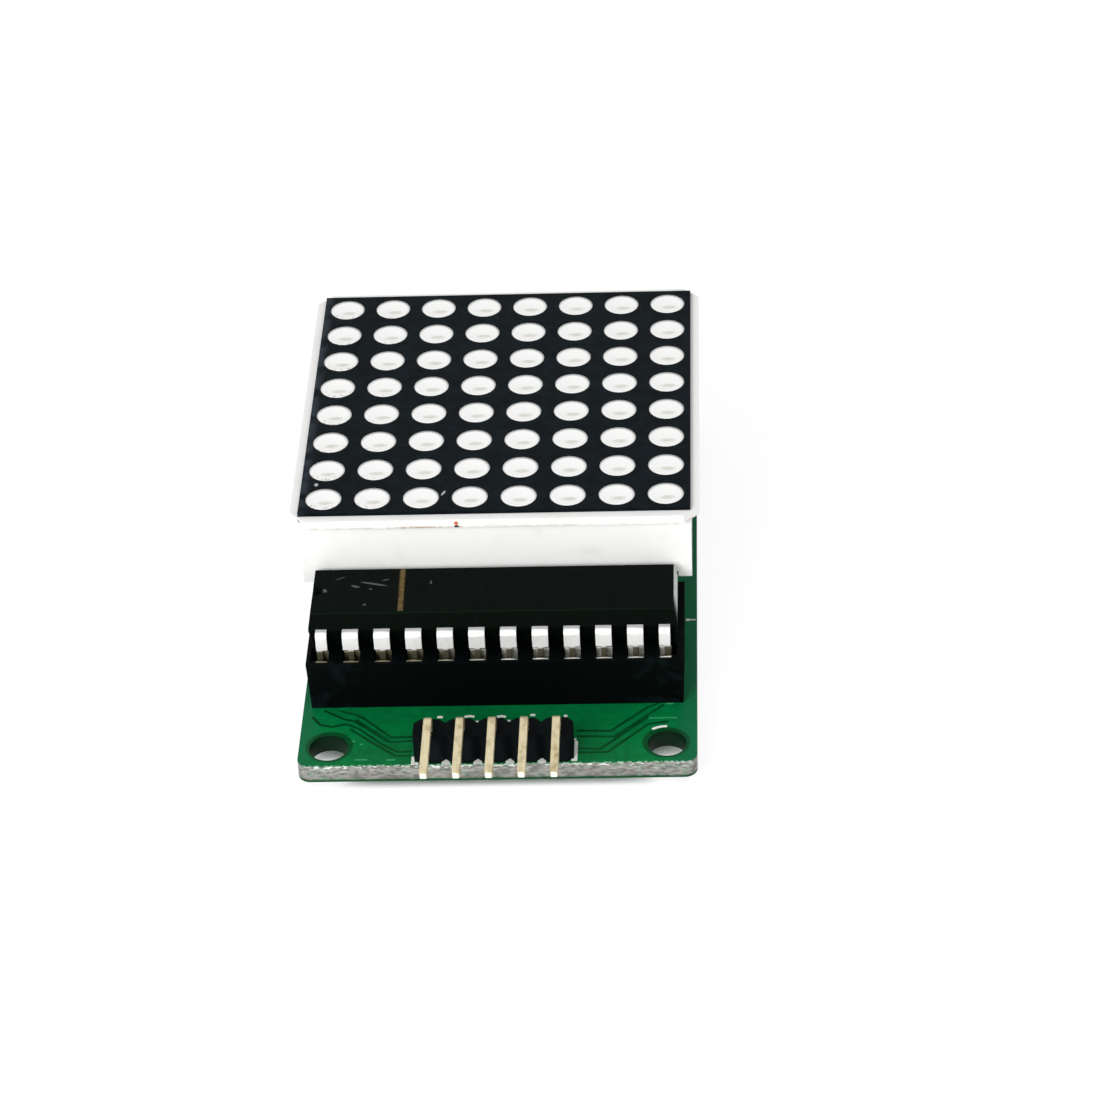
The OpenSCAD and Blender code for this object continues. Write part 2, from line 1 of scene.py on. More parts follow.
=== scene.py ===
"""Dresses the LED dot matrix module: finishes, fine details, stage and camera.

Every length is in metres and every piece lies in the row's frame: X to the right, Y to the rear,
Z up, with Z = 0 at the tips of the solder joints. Shaders work in millimetres.
"""

import json
import math

import bmesh
import bpy
from bpy.props import FloatProperty, FloatVectorProperty, PointerProperty
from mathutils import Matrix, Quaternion, Vector

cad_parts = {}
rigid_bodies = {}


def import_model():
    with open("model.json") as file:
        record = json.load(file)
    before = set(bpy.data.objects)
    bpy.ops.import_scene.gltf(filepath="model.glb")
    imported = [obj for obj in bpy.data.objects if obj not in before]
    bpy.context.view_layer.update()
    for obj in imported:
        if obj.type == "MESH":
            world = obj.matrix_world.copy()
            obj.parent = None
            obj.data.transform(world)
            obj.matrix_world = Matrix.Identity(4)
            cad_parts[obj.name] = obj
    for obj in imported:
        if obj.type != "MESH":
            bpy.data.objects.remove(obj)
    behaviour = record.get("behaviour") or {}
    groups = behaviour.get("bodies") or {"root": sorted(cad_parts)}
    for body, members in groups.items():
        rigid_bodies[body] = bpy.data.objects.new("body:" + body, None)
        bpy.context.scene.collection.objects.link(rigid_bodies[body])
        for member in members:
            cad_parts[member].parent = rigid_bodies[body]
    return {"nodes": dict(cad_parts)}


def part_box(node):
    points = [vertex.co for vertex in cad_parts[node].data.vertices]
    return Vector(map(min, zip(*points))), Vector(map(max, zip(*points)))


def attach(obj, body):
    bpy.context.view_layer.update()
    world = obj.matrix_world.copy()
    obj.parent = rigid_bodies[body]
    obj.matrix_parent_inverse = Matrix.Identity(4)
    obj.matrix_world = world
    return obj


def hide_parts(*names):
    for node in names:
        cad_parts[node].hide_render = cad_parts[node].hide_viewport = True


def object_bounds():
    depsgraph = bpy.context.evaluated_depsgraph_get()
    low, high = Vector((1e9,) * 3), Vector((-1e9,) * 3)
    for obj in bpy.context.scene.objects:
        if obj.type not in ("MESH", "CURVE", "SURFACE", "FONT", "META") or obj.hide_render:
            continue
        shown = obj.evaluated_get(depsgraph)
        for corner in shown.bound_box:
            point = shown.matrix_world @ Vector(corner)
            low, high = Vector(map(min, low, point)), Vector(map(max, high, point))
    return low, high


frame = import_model()
CAD_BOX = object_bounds()

bl_info = {
    "name": "LED dot matrix module",
    "version": (1, 0, 0),
    "blender": (4, 5, 0),
    "location": "View3D > Sidebar > Dot matrix",
    "description": "Dresses an 8 x 8 LED dot matrix module with its finishes and fine details",
    "category": "Object",
}

MM = 0.001
BODY = "root"

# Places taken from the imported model
BOARD_LOW, BOARD_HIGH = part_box("circuit_board")
BOARD_MIDDLE = (BOARD_LOW.x + BOARD_HIGH.x) / 2
SOCKET_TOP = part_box("chip_socket")[1].z
CHIP_LOW, CHIP_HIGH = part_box("chip_body")
HOUSING_LOW, HOUSING_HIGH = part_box("display_housing")
FACE_LOW, FACE_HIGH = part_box("display_face")
CHIP_CENTRE = (CHIP_LOW + CHIP_HIGH) / 2
FACE_CENTRE = (FACE_LOW + FACE_HIGH) / 2

CHIP_LEADS = [f"chip_lead_{i}" for i in range(1, 25)]
HEADER_PINS = [f"header_pin_{i}" for i in range(1, 6)]

SOLDER_JOINTS = ("header_solder", "chip_solder", "strip_solder", "small_part_solder")

DOT_PITCH = 3.96 * MM
RIM_HEIGHT = 0.8 * MM

# In millimetres: the holes from the board's middle and front edge, and the header's pitch
HOLE_ASIDE = 13.5
HOLE_BACK = 2.3
PIN_PITCH = 2.54

# In millimetres: tracks along the board's sides, the chip's stripe, and the contacts' reach
RIGHT_LANE = 12.2
LEFT_LANE = -15.2
LANE_PITCH = 0.9
STRIPE_PLACE = -7.53
CONTACTS_MIDDLE = -0.14
CONTACTS_REACH = 14.25

# Stage
KEY_PLACE = (-0.26, -0.5, 0.34)
FILL_PLACE = (0.4, -0.35, 0.3)
LAMP_SIZE = 0.3
FLOOR_GLOW = 0.86
SHADOW_REACH = 4 * MM


def paint(red, green, blue):
    """A display colour, each channel from 0 to 255, as the linear colour that shaders take."""
    def linear(channel):
        share = channel / 255
        return share / 12.92 if share <= 0.04045 else ((share + 0.055) / 1.055) ** 2.4
    return tuple(linear(channel) for channel in (red, green, blue))


# Settings ------------------------------------------------------------------------------------


def length(name, description, millimetres):
    """A size that the user can change."""
    return FloatProperty(name=name, description=description, default=millimetres * MM,
                         unit="LENGTH", precision=5)


def colour(name, description, red, green, blue):
    """A colour that the user can change."""
    return FloatVectorProperty(name=name, description=description, subtype="COLOR", size=3,
                               min=0, max=1, default=paint(red, green, blue))


class BoardSettings(bpy.types.PropertyGroup):
    """Circuit board"""

    mask: colour("Solder mask", "Green over copper", 0, 110, 56)
    mask_edge: colour("Mask at the sides", "Bluer green along the side edges", 2, 96, 62)
    gap: colour("Track gap", "Bare laminate seen through the mask beside the tracks", 0, 68, 32)
    laminate: colour("Laminate", "Cut edge of the glass fibre", 150, 150, 144)
    fibre: colour("Fibre", "Bright cut fibres in the edge", 226, 238, 228)
    print_white: colour("Printed lines", "White ink", 240, 243, 238)
    gap_width: length("Track gap width", "Width of the gaps beside the tracks", 0.22)
    track_width: length("Track width", "Width of the tracks on the underside", 0.5)
    print_width: length("Printed line width", "Width of the printed lines", 0.2)
    ink: length("Ink thickness", "Height of printed lines and tracks above the mask", 0.015)
    pad_margin: length("Pad margin", "Bare pad that shows round each solder joint", 0.14)


class HeaderSettings(bpy.types.PropertyGroup):
    """Input header"""

    plastic: colour("Header plastic", "Black moulded block", 6, 11, 13)
    plating: colour("Pin plating", "Pale champagne plating", 226, 214, 176)
    tarnish: colour("Tarnish", "Darker film along the pins", 168, 146, 104)
    # Painted highlight: this colour whitens the pins' front end faces and makes their white glint flecks.
    cut_end: colour("Cut end", "Bright end faces of the pins", 250, 250, 246)
    # Painted shade: on the header, the smudge colour browns the pins' right-facing sides near the bends.
    smudge: colour("Smudge", "Brown flux beside the bends", 108, 84, 50)
    pin_edge: length("Pin edge", "Rounding of the pins' long edges", 0.05)


class SocketSettings(bpy.types.PropertyGroup):
    """Chip socket"""

    plastic: colour("Socket plastic", "Black moulded frame", 3, 6, 6)
    # Smudge gives bluish patches towards both ends of the socket's frame, and the patches on the strips'
    # plastic.
    smudge: colour("Smudge", "Bluish rubbed patches", 10, 19, 20)
    # Painted reflection: brass and tin are the two ends of a left-to-right brightening of the socket's
    # contacts; the strips' contacts use them as plain tone.
    brass: colour("Contact brass", "Contacts at the left end", 146, 138, 114)
    tin: colour("Contact tin", "Contacts at the right end", 236, 236, 230)
    edge: length("Frame edge", "Rounding of the frame's edges", 0.1)


class ChipSettings(bpy.types.PropertyGroup):
    """Driver chip"""

    resin: colour("Moulding", "Black moulding compound", 3, 8, 5)
    stripe: colour("Stripe", "Brownish stripe across the top", 104, 88, 54)
    scratch: colour("Scratches", "Pale rubbed marks", 120, 128, 122)
    # Painted reflection: this light grey stands for a reflection on the chip's right end.
    worn: colour("Worn end", "Rubbed edge at the end without a notch", 206, 210, 205)
    lead: colour("Leads", "Bright tin", 252, 252, 250)
    # Painted shade on the leads' lower ends, in the contacts' throats.
    lead_low: colour("Lead ends", "Leads inside their contacts", 84, 84, 66)
    stripe_width: length("Stripe width", "Width of the brownish stripe", 0.46)
    edge: length("Body edge", "Rounding of the body's edges", 0.1)


class DisplaySettings(bpy.types.PropertyGroup):
    """LED display"""

    shell: colour("Housing", "White moulded shell", 248, 248, 246)
    # A ragged brown line along the front at the rim's lower edge.
    dirt: colour("Dirt", "Brown line under the rim", 168, 144, 112)
    face: colour("Black face", "Black front film", 9, 17, 21)
    # Painted highlight along the face's left edge.
    face_edge: colour("Face edge", "Greyer strip at the left of the face", 52, 60, 68)
    dot: colour("Dot", "Milky epoxy", 253, 253, 252)
    dot_shade: colour("Dot shade", "Chip seen dimly in the dot", 216, 216, 204)
    # Painted shade along each dot's front edge.
    dot_rim: colour("Dot rim", "Olive edge of each dot", 150, 140, 98)
    dot_hollow: length("Dot hollow", "How far the middle of a dot sinks", 0.09)
    edge: length("Housing edge", "Rounding of the housing's edges", 0.12)


class PartSettings(bpy.types.PropertyGroup):
    """Small parts and solder"""

    solder: colour("Solder", "Bright solder", 214, 216, 218)
    tin: colour("Tinned wire", "Leads of the small parts", 205, 206, 204)
    film: colour("Sleeve", "Sleeve of the electrolytic capacitor", 22, 26, 46)
    can: colour("Can", "Aluminium can", 208, 210, 212)
    dip: colour("Ceramic dip", "Dipped coating of the disc capacitor", 196, 122, 42)
    lacquer: colour("Lacquer", "Body of the resistor", 205, 178, 132)
    substrate: colour("Substrate", "Board inside the display", 196, 190, 150)
    potting: colour("Potting", "Resin in the display's back", 226, 222, 208)


class StageSettings(bpy.types.PropertyGroup):
    """Stage"""

    camera_place: FloatVectorProperty(
        name="Camera", description="Where the camera stands", subtype="TRANSLATION", unit="LENGTH",
        size=3, precision=5, default=(0.0196, -0.25186, 0.19687))
    camera_aim: FloatVectorProperty(
        name="Aim", description="Where the camera looks", subtype="TRANSLATION", unit="LENGTH",
        size=3, precision=5, default=(0.00403, -0.000465, 0.00735))
    camera_roll: FloatProperty(
        name="Roll", description="Turn of the camera about its own axis", unit="ROTATION",
        default=math.radians(-3.115))
    camera_lens: FloatProperty(
        name="Lens", description="Focal length for a 36 mm sensor", unit="CAMERA", default=124.46)
    ambient: FloatProperty(
        name="Ambient", description="Light from all around", default=0.56, min=0)
    key_power: FloatProperty(
        name="Key lamp", description="Power of the large lamp", unit="POWER", default=2.9, min=0)
    fill_power: FloatProperty(
        name="Fill lamp", description="Power of the weak lamp", unit="POWER", default=0.4, min=0)
    floor: colour("Floor", "White paper", 232, 232, 232)
    contact: colour("Contact shadow", "Floor close under the module", 16, 58, 40)


GROUPS = [
    BoardSettings, HeaderSettings, SocketSettings, ChipSettings, DisplaySettings, PartSettings,
    StageSettings,
]


class ModuleSettings(bpy.types.PropertyGroup):
    """All settings of the module, kept on the scene"""

    board: PointerProperty(type=BoardSettings, name="Circuit board")
    header: PointerProperty(type=HeaderSettings, name="Input header")
    socket: PointerProperty(type=SocketSettings, name="Chip socket")
    chip: PointerProperty(type=ChipSettings, name="Driver chip")
    display: PointerProperty(type=DisplaySettings, name="LED display")
    parts: PointerProperty(type=PartSettings, name="Small parts and solder")
    stage: PointerProperty(type=StageSettings, name="Stage")


# Shaders -------------------------------------------------------------------------------------


class Value:
    """A socket whose value varies over a surface. Sums and comparisons add Math nodes."""

    def __init__(self, graph, socket):
        self.graph = graph
        self.socket = socket

    def math(self, operation, *others):
        """This value and the others through one Math node."""
        inputs = dict(enumerate((self, *others)))
        return self.graph.node("ShaderNodeMath", {"operation": operation}, inputs)

    def other(self, output):
        """Another output of the node that gives this value."""
        return Value(self.graph, self.socket.node.outputs[output])

    def __add__(self, other):
        return self.math("ADD", other)

    __radd__ = __add__

    def __mul__(self, other):
        return self.math("MULTIPLY", other)

    __rmul__ = __mul__

    def __sub__(self, other):
        return self.math("SUBTRACT", other)

    def __rsub__(self, other):
        return self.graph.node("ShaderNodeMath", {"operation": "SUBTRACT"}, {0: other, 1: self})

    def __lt__(self, other):
        return self.math("LESS_THAN", other)

    def __gt__(self, other):
        return self.math("GREATER_THAN", other)

    def __abs__(self):
        return self.math("ABSOLUTE")

    def rise(self, low, high):
        """0 below low, 1 above high and smooth between them."""
        settings = {"interpolation_type": "SMOOTHSTEP"}
        inputs = {"Value": self, "From Min": low, "From Max": high}
        return self.graph.node("ShaderNodeMapRange", settings, inputs)

    def fall(self, low, high):
        """1 below low, 0 above high and smooth between them."""
        return 1 - self.rise(low, high)


class Graph:
    """A node tree that is built one call at a time."""

    def __init__(self, tree):
        self.tree = tree

    def feed(self, socket, value):
        """Links a value to a socket, or sets a plain number or colour on it."""
        if isinstance(value, Value):
            self.tree.links.new(value.socket, socket)
        elif socket.type == "RGBA":
            socket.default_value = (*value, 1)
        else:
            socket.default_value = value

    def node(self, kind, settings=None, inputs=None, output=0):
        """Adds a node with its settings, then its socket values or links, and returns an output."""
        made = self.tree.nodes.new(kind)
        for name, setting in (settings or {}).items():
            if name == "stops":
                self.set_stops(made.color_ramp.elements, setting)
            else:
                setattr(made, name, setting)
        for socket, value in (inputs or {}).items():
            self.feed(made.inputs[socket], value)
        return Value(self, made.outputs[output]) if made.outputs else None

    def set_stops(self, elements, stops):
        """Gives a ramp its stops, a list of (place, colour)."""
        while len(elements) < len(stops):
            elements.new(1)
        for element, (place, shade) in zip(elements, stops):
            element.position = place
            element.color = (*shade, 1)

    def blend(self, first, second, mask):
        """The first colour where mask is 0 and the second where it is 1."""
        return self.node("ShaderNodeMix", {"data_type": "RGBA"}, {0: mask, 6: first, 7: second}, 2)

    def ramp(self, value, stops):
        """The colour that a ramp gives for a value from 0 to 1."""
        return self.node("ShaderNodeValToRGB", {"stops": stops}, {"Fac": value})


class Finish(Graph):
    """A material with a Principled shader, its constants set on the shader itself."""

    def __init__(self, name, roughness=0.5, metallic=0.0, specular=0.5, coat=0.0):
        self.material = bpy.data.materials.new(name)
        self.material.use_nodes = True
        super().__init__(self.material.node_tree)
        self.shader = self.tree.nodes["Principled BSDF"]
        self.set("Roughness", roughness)
        self.set("Metallic", metallic)
        self.set("Specular IOR Level", specular)
        self.set("Coat Weight", coat)

    def set(self, socket, value):
        """Feeds one socket of the shader."""
        self.feed(self.shader.inputs[socket], value)

    def point(self):
        """The point on the object, in millimetres."""
        place = self.node("ShaderNodeTexCoord", output="Object")
        return self.node("ShaderNodeVectorMath", {"operation": "SCALE"}, {0: place, "Scale": 1 / MM})

    def axes(self):
        """X, Y and Z of the point on the object, in millimetres."""
        x = self.node("ShaderNodeSeparateXYZ", inputs={0: self.point()})
        return x, x.other("Y"), x.other("Z")

    def facing(self, axis):
        """How far the surface faces along an axis, from -1 to 1."""
        normal = self.node("ShaderNodeNewGeometry", output="Normal")
        return self.node("ShaderNodeSeparateXYZ", inputs={0: normal}, output=axis)

    def noise(self, size, detail=2.0, stretch=(1, 1, 1), turn=(0, 0, 0), seed=0.0):
        """Soft noise around 0.5 whose patches are about size millimetres across."""
        mapping = {"Vector": self.point(), "Location": (seed, seed, seed), "Rotation": turn,
                   "Scale": stretch}
        place = self.node("ShaderNodeMapping", inputs=mapping)
        inputs = {"Vector": place, "Scale": 1 / size, "Detail": detail}
        return self.node("ShaderNodeTexNoise", inputs=inputs)

    def spot(self, across, along, centre, radii, turn=0.0, softness=0.5):
        """1 inside a small ellipse in the plane of two values, and 0 outside."""
        right = across - centre[0]
        up = along - centre[1]
        cosine, sine = math.cos(turn), math.sin(turn)
        first = (right * cosine + up * sine) * (1 / radii[0])
        second = (up * cosine - right * sine) * (1 / radii[1])
        return (first * first + second * second).fall(1 - softness, 1)

    def relief(self, height, depth, strength=1.0):
        """Bends the normal by a height from 0 to 1 that stands for depth millimetres."""
        inputs = {"Height": height, "Distance": depth * MM, "Strength": strength}
        self.set("Normal", self.node("ShaderNodeBump", inputs=inputs))


def shade(tone, factor):
    """A colour made darker or lighter."""
    return tuple(min(1, channel * factor) for channel in tone)


def plastic_finish(name, tone, wear, specular=0.15, roughness=0.42, grain=0.25):
    """Moulded plastic: fine grain, rubbed patches and a slightly uneven gloss."""
    finish = Finish(name, specular=specular)
    cloud = finish.noise(2.6, detail=3)
    finish.set("Base Color", finish.blend(tone, wear, cloud.rise(0.5, 0.85)))
    finish.set("Roughness", roughness + 0.25 * finish.noise(0.9, seed=5))
    finish.relief(finish.noise(grain, detail=3, seed=9), 0.012)
    return finish


def metal_finish(name, tone, dull, roughness=0.24, patch=1.1, metallic=1.0):
    """Plated metal with duller patches and faint draw marks."""
    finish = Finish(name, metallic=metallic)
    film = finish.noise(patch, detail=4, seed=3)
    finish.set("Base Color", finish.blend(tone, dull, film.rise(0.45, 0.8)))
    finish.set("Roughness", roughness + 0.2 * finish.noise(patch / 3, seed=7))
    finish.relief(finish.noise(0.12, stretch=(3, 0.4, 3), seed=2), 0.004)
    return finish


# Meshes --------------------------------------------------------------------------------------


def dress(node, finish):
    """Gives a CAD node its finish."""
    slots = frame["nodes"][node].data.materials
    slots.clear()
    slots.append(finish.material)


def soften(node, width, segments=2):
    """Rounds a CAD node's sharp edges by modifiers, with its own mesh left as it is."""
    item = frame["nodes"][node]
    weld = item.modifiers.new("Weld", "WELD")
    weld.merge_threshold = 0.001 * MM
    flat = item.modifiers.new("Flat faces", "DECIMATE")
    flat.decimate_type = "DISSOLVE"
    flat.angle_limit = math.radians(1)
    bevel = item.modifiers.new("Edges", "BEVEL")
    bevel.width = width
    bevel.segments = segments
    bevel.limit_method = "ANGLE"
    bevel.angle_limit = math.radians(40)
    item.modifiers.new("Shading", "WEIGHTED_NORMAL")


def add_piece(name, mesh, finish, replaces=()):
    """Turns a bmesh into a piece that rides on the module."""
    data = bpy.data.meshes.new(name)
    bmesh.ops.recalc_face_normals(mesh, faces=mesh.faces)
    mesh.to_mesh(data)
    mesh.free()
    data.materials.append(finish.material)
    piece = bpy.data.objects.new(name, data)
    bpy.context.scene.collection.objects.link(piece)
    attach(piece, BODY)
    if replaces:
        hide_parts(*replaces)
    return piece


def add_wall(mesh, lower, upper):
    """Joins two rings of vertices by quads."""
    count = len(lower)
    for i in range(count):
        after = (i + 1) % count
        mesh.faces.new((lower[i], lower[after], upper[after], upper[i]))


def add_ribbon(mesh, path, width, low, high):
    """Adds a flat strip along a path of 2-D points, with mitred corners, between two heights."""
    path = [Vector(point) for point in path]
    steps = [(after - before).normalized() for before, after in zip(path, path[1:])]
    outline = []
    for side in (1, -1):
        edge = []
        for point, before, after in zip(path, [steps[0], *steps], [*steps, steps[-1]]):
            mean = (before + after).normalized()
            reach = side * width / 2 / mean.dot(after)
            edge.append(point + Vector((-mean.y, mean.x)) * reach)
        outline.append(edge)
    left, right = outline
    rows = [[mesh.verts.new((*point, z)) for point in (*left, *reversed(right))] for z in (low, high)]
    add_wall(mesh, *rows)
    last = len(rows[0]) - 1
    for row in rows:
        for i in range(len(path) - 1):
            mesh.faces.new((row[i], row[i + 1], row[last - i - 1], row[last - i]))


def circle(centre, radius, steps):
    """Points of a circle."""
    return [(centre[0] + radius * math.cos(math.tau * i / steps),
             centre[1] + radius * math.sin(math.tau * i / steps)) for i in range(steps)]


def arc(centre, radius, start, end, steps=8):
    """Points of an arc between two angles in degrees."""
    angles = [math.radians(start + (end - start) * i / steps) for i in range(steps + 1)]
    return [(centre[0] + radius * math.cos(a), centre[1] + radius * math.sin(a)) for a in angles]


def add_ring(mesh, centre, inner, outer, low, high, steps=24):
    """Adds a flat ring."""
    def row(radius, z):
        return [mesh.verts.new((*point, z)) for point in circle(centre, radius, steps)]
    outer_low, outer_high = row(outer, low), row(outer, high)
    inner_low, inner_high = row(inner, low), row(inner, high)
    add_wall(mesh, outer_low, outer_high)
    add_wall(mesh, inner_high, inner_low)
    add_wall(mesh, outer_high, inner_high)
    add_wall(mesh, inner_low, outer_low)


def solids_of(node):
    """Lowest and highest corner of each separate solid in a CAD node, front rows first."""
    mesh = bmesh.new()
    mesh.from_mesh(frame["nodes"][node].data)
    bmesh.ops.remove_doubles(mesh, verts=mesh.verts, dist=0.001 * MM)
    unseen = set(mesh.verts)
    found = []
    while unseen:
        wave = [unseen.pop()]
        solid = []
        while wave:
            vertex = wave.pop()
            solid.append(vertex.co.copy())
            for edge in vertex.link_edges:
                neighbour = edge.other_vert(vertex)
                if neighbour in unseen:
                    unseen.remove(neighbour)
                    wave.append(neighbour)
        low = Vector([min(co[axis] for co in solid) for axis in range(3)])
        high = Vector([max(co[axis] for co in solid) for axis in range(3)])
        found.append((low, high))
    mesh.free()
    return sorted(found, key=lambda box: (round(box[0].y, 5), box[0].x))


def centres_of(node):
    """Centre in X and Y and the half width of each separate solid in a CAD node."""
    return [(((low + high) / 2).xy, (high.x - low.x) / 2) for low, high in solids_of(node)]


def on_board(x, y):
    """A point on the board, given in millimetres from the middle of its front edge."""
    return Vector((x * MM, BOARD_LOW.y + y * MM))


# Circuit board -------------------------------------------------------------------------------


def board_finish(settings):
    """Green solder mask, darker round the holes, cut glass fibre at the edges, and painted shade on the hole
    walls.
    """
    finish = Finish("solder mask on laminate", specular=0.12)
    x, y, z = finish.axes()
    tone = 0.5 * finish.noise(6, detail=2) + 0.5 * finish.noise(0.7, detail=3, seed=4)
    mask = finish.blend(shade(settings.mask, 0.8), shade(settings.mask, 1.25), tone.rise(0.3, 0.7))
    side = abs(x).rise(13.2, 16)
    mask = finish.blend(mask, settings.mask_edge, side * 0.75)
    aside = abs(x - BOARD_MIDDLE / MM)
    hole_y = BOARD_LOW.y / MM + HOLE_BACK
    ring = finish.spot(aside, y, (HOLE_ASIDE - 0.05, hole_y + 0.12), (2.0, 2.0), softness=0.2)
    mask = finish.blend(mask, shade(settings.gap, 0.7), ring * 0.8)
    lip = y.fall(BOARD_LOW.y / MM + 0.05, BOARD_LOW.y / MM + 0.2)
    sparkle = finish.noise(0.4, detail=3, stretch=(1, 0.3, 1), seed=15).rise(0.45, 0.6)
    mask = finish.blend(mask, paint(190, 240, 214), lip * sparkle * 0.7)

    height = (z - BOARD_LOW.z / MM) * (MM / (BOARD_HIGH.z - BOARD_LOW.z))
    fibre = finish.noise(0.3, detail=4, stretch=(0.5, 0.5, 1.2), turn=(0, 0.7, 0), seed=8)
    glass = finish.blend(shade(settings.laminate, 0.5), settings.laminate, fibre.rise(0.35, 0.6))
    tint = finish.noise(0.6, detail=3, seed=17)
    glass = finish.blend(glass, paint(128, 104, 104), tint.rise(0.55, 0.75) * 0.5)
    glass = finish.blend(glass, paint(84, 136, 104), tint.fall(0.3, 0.45) * 0.5)
    chips = finish.noise(0.22, detail=3, stretch=(0.6, 1, 1.4), seed=12).rise(0.5, 0.66)
    bright = (height.rise(0.3, 0.8) * 0.35 + height.rise(0.8, 0.9)) * chips
    glass = finish.blend(glass, settings.fibre, bright.math("MINIMUM", 1))
    ragged = 0.02 + 0.12 * finish.noise(0.5, detail=3, seed=19)
    glass = finish.blend(settings.gap, glass, (height - ragged).rise(0, 0.16))

    # Painted shade: the walls of the mounting holes and of every hole inside the board are painted a very
    # dark green.
    inside = finish.spot(aside, y, (HOLE_ASIDE, hole_y), (2.2, 2.2), softness=0.02)
    inside = inside + (abs(x) < 12) * (y > BOARD_LOW.y / MM + 0.6) * (y < BOARD_HIGH.y / MM - 0.6)
    edge_and_shaded_walls = finish.blend(glass, shade(settings.gap, 0.25), inside.math("MINIMUM", 1))
    finish.set("Base Color", finish.blend(edge_and_shaded_walls, mask, abs(finish.facing("Z")).rise(0.5, 0.8)))
    finish.set("Roughness", 0.35 + 0.2 * finish.noise(3, seed=6))
    finish.relief(finish.noise(0.3, detail=3, seed=10), 0.01)
    return finish


def gap_finish(settings):
    """Darker green where the laminate shows through the mask beside a track."""
    finish = Finish("mask over bare laminate", roughness=0.4, specular=0.1)
    depth = finish.noise(1.6, detail=3, seed=1)
    low, high = shade(settings.gap, 0.65), shade(settings.gap, 1.3)
    finish.set("Base Color", finish.blend(low, high, depth.rise(0.3, 0.7)))
    return finish


def track_finish(settings):
    """Lighter green where the mask runs over a track."""
    finish = Finish("mask over copper", roughness=0.35, specular=0.15)
    sheen = finish.noise(1.2, detail=3, seed=2)
    finish.set("Base Color", finish.blend(settings.mask, shade(settings.mask, 1.5), sheen.rise(0.3, 0.8)))
    return finish


def ink_finish(settings):
    """White ink with a slightly ragged cover."""
    finish = Finish("white ink", roughness=0.6, specular=0.2)
    cover = finish.noise(0.25, detail=3)
    thin = shade(settings.print_white, 0.75)
    finish.set("Base Color", finish.blend(thin, settings.print_white, cover.rise(0.25, 0.45)))
    return finish


# Gaps beside the tracks in front of the socket, in millimetres on the board
LEFT_GAPS = [
    [(-6.6, 3.5), (-8.4, 3.5), (-10.7, 5.9), (-11.4, 6.4), (-12.7, 6.9)],
    [(-6.6, 3.0), (-8.4, 2.9), (-11.5, 5.6), (-12.4, 5.9), (-14.0, 7.0)],
    [(-6.6, 1.7), (-7.8, 1.7), (-9.1, 2.7), (-11.0, 4.6), (-11.8, 5.1), (-12.3, 5.2), (-13.2, 4.9),
     (-14.2, 5.2), (-14.9, 6.2)],
    [(-6.6, 1.2), (-7.9, 1.2), (-10.0, 3.0), (-11.7, 4.6)],
]
RIGHT_GAPS = [
    [(6.5, 4.0), (9.2, 3.9), (12.1, 6.8), (13.0, 7.3)],
    [(6.5, 3.3), (9.5, 3.2), (13.4, 7.1)],
    [(6.5, 1.8), (8.4, 1.7), (12.2, 5.6)],
    [(6.5, 1.3), (9.0, 1.3), (12.2, 4.7), (13.8, 5.0)],
]


def routed(start, end):
    """A track that runs along Y, crosses at 45 degrees and runs along Y again."""
    middle = (start.y + end.y) / 2
    turn = math.copysign(abs(end.x - start.x) / 2, end.y - start.y)
    return [start, Vector((start.x, middle - turn)), Vector((end.x, middle + turn)), end]


def edge_routed(start, x, end):
    """A track that leaves at 45 degrees, runs along one side of the board and comes back in."""
    return [start, Vector((x, start.y + abs(x - start.x))), Vector((x, end.y - abs(x - end.x))), end]


def underside_routes():
    """The tracks under the board, from joint to joint."""
    header = [centre for centre, _ in centres_of("header_solder")]
    chip = [centre for centre, _ in centres_of("chip_solder")]
    strips = [centre for centre, _ in centres_of("strip_solder")]
    front_row, rear_row = chip[:12], chip[12:]
    front_strip, rear_strip = strips[:8], strips[8:]
    routes = [routed(header[i], front_row[lead]) for i, lead in enumerate((3, 4, 5, 7, 8))]
    routes += [routed(rear_row[i + 1], joint) for i, joint in enumerate(front_strip)]
    for i in range(3):
        right, left = (lane + LANE_PITCH * i for lane in (RIGHT_LANE, LEFT_LANE))
        routes.append(edge_routed(rear_row[9 + i], right * MM, rear_strip[5 + i]))
        routes.append(edge_routed(front_row[i], left * MM, rear_strip[i]))
    return routes


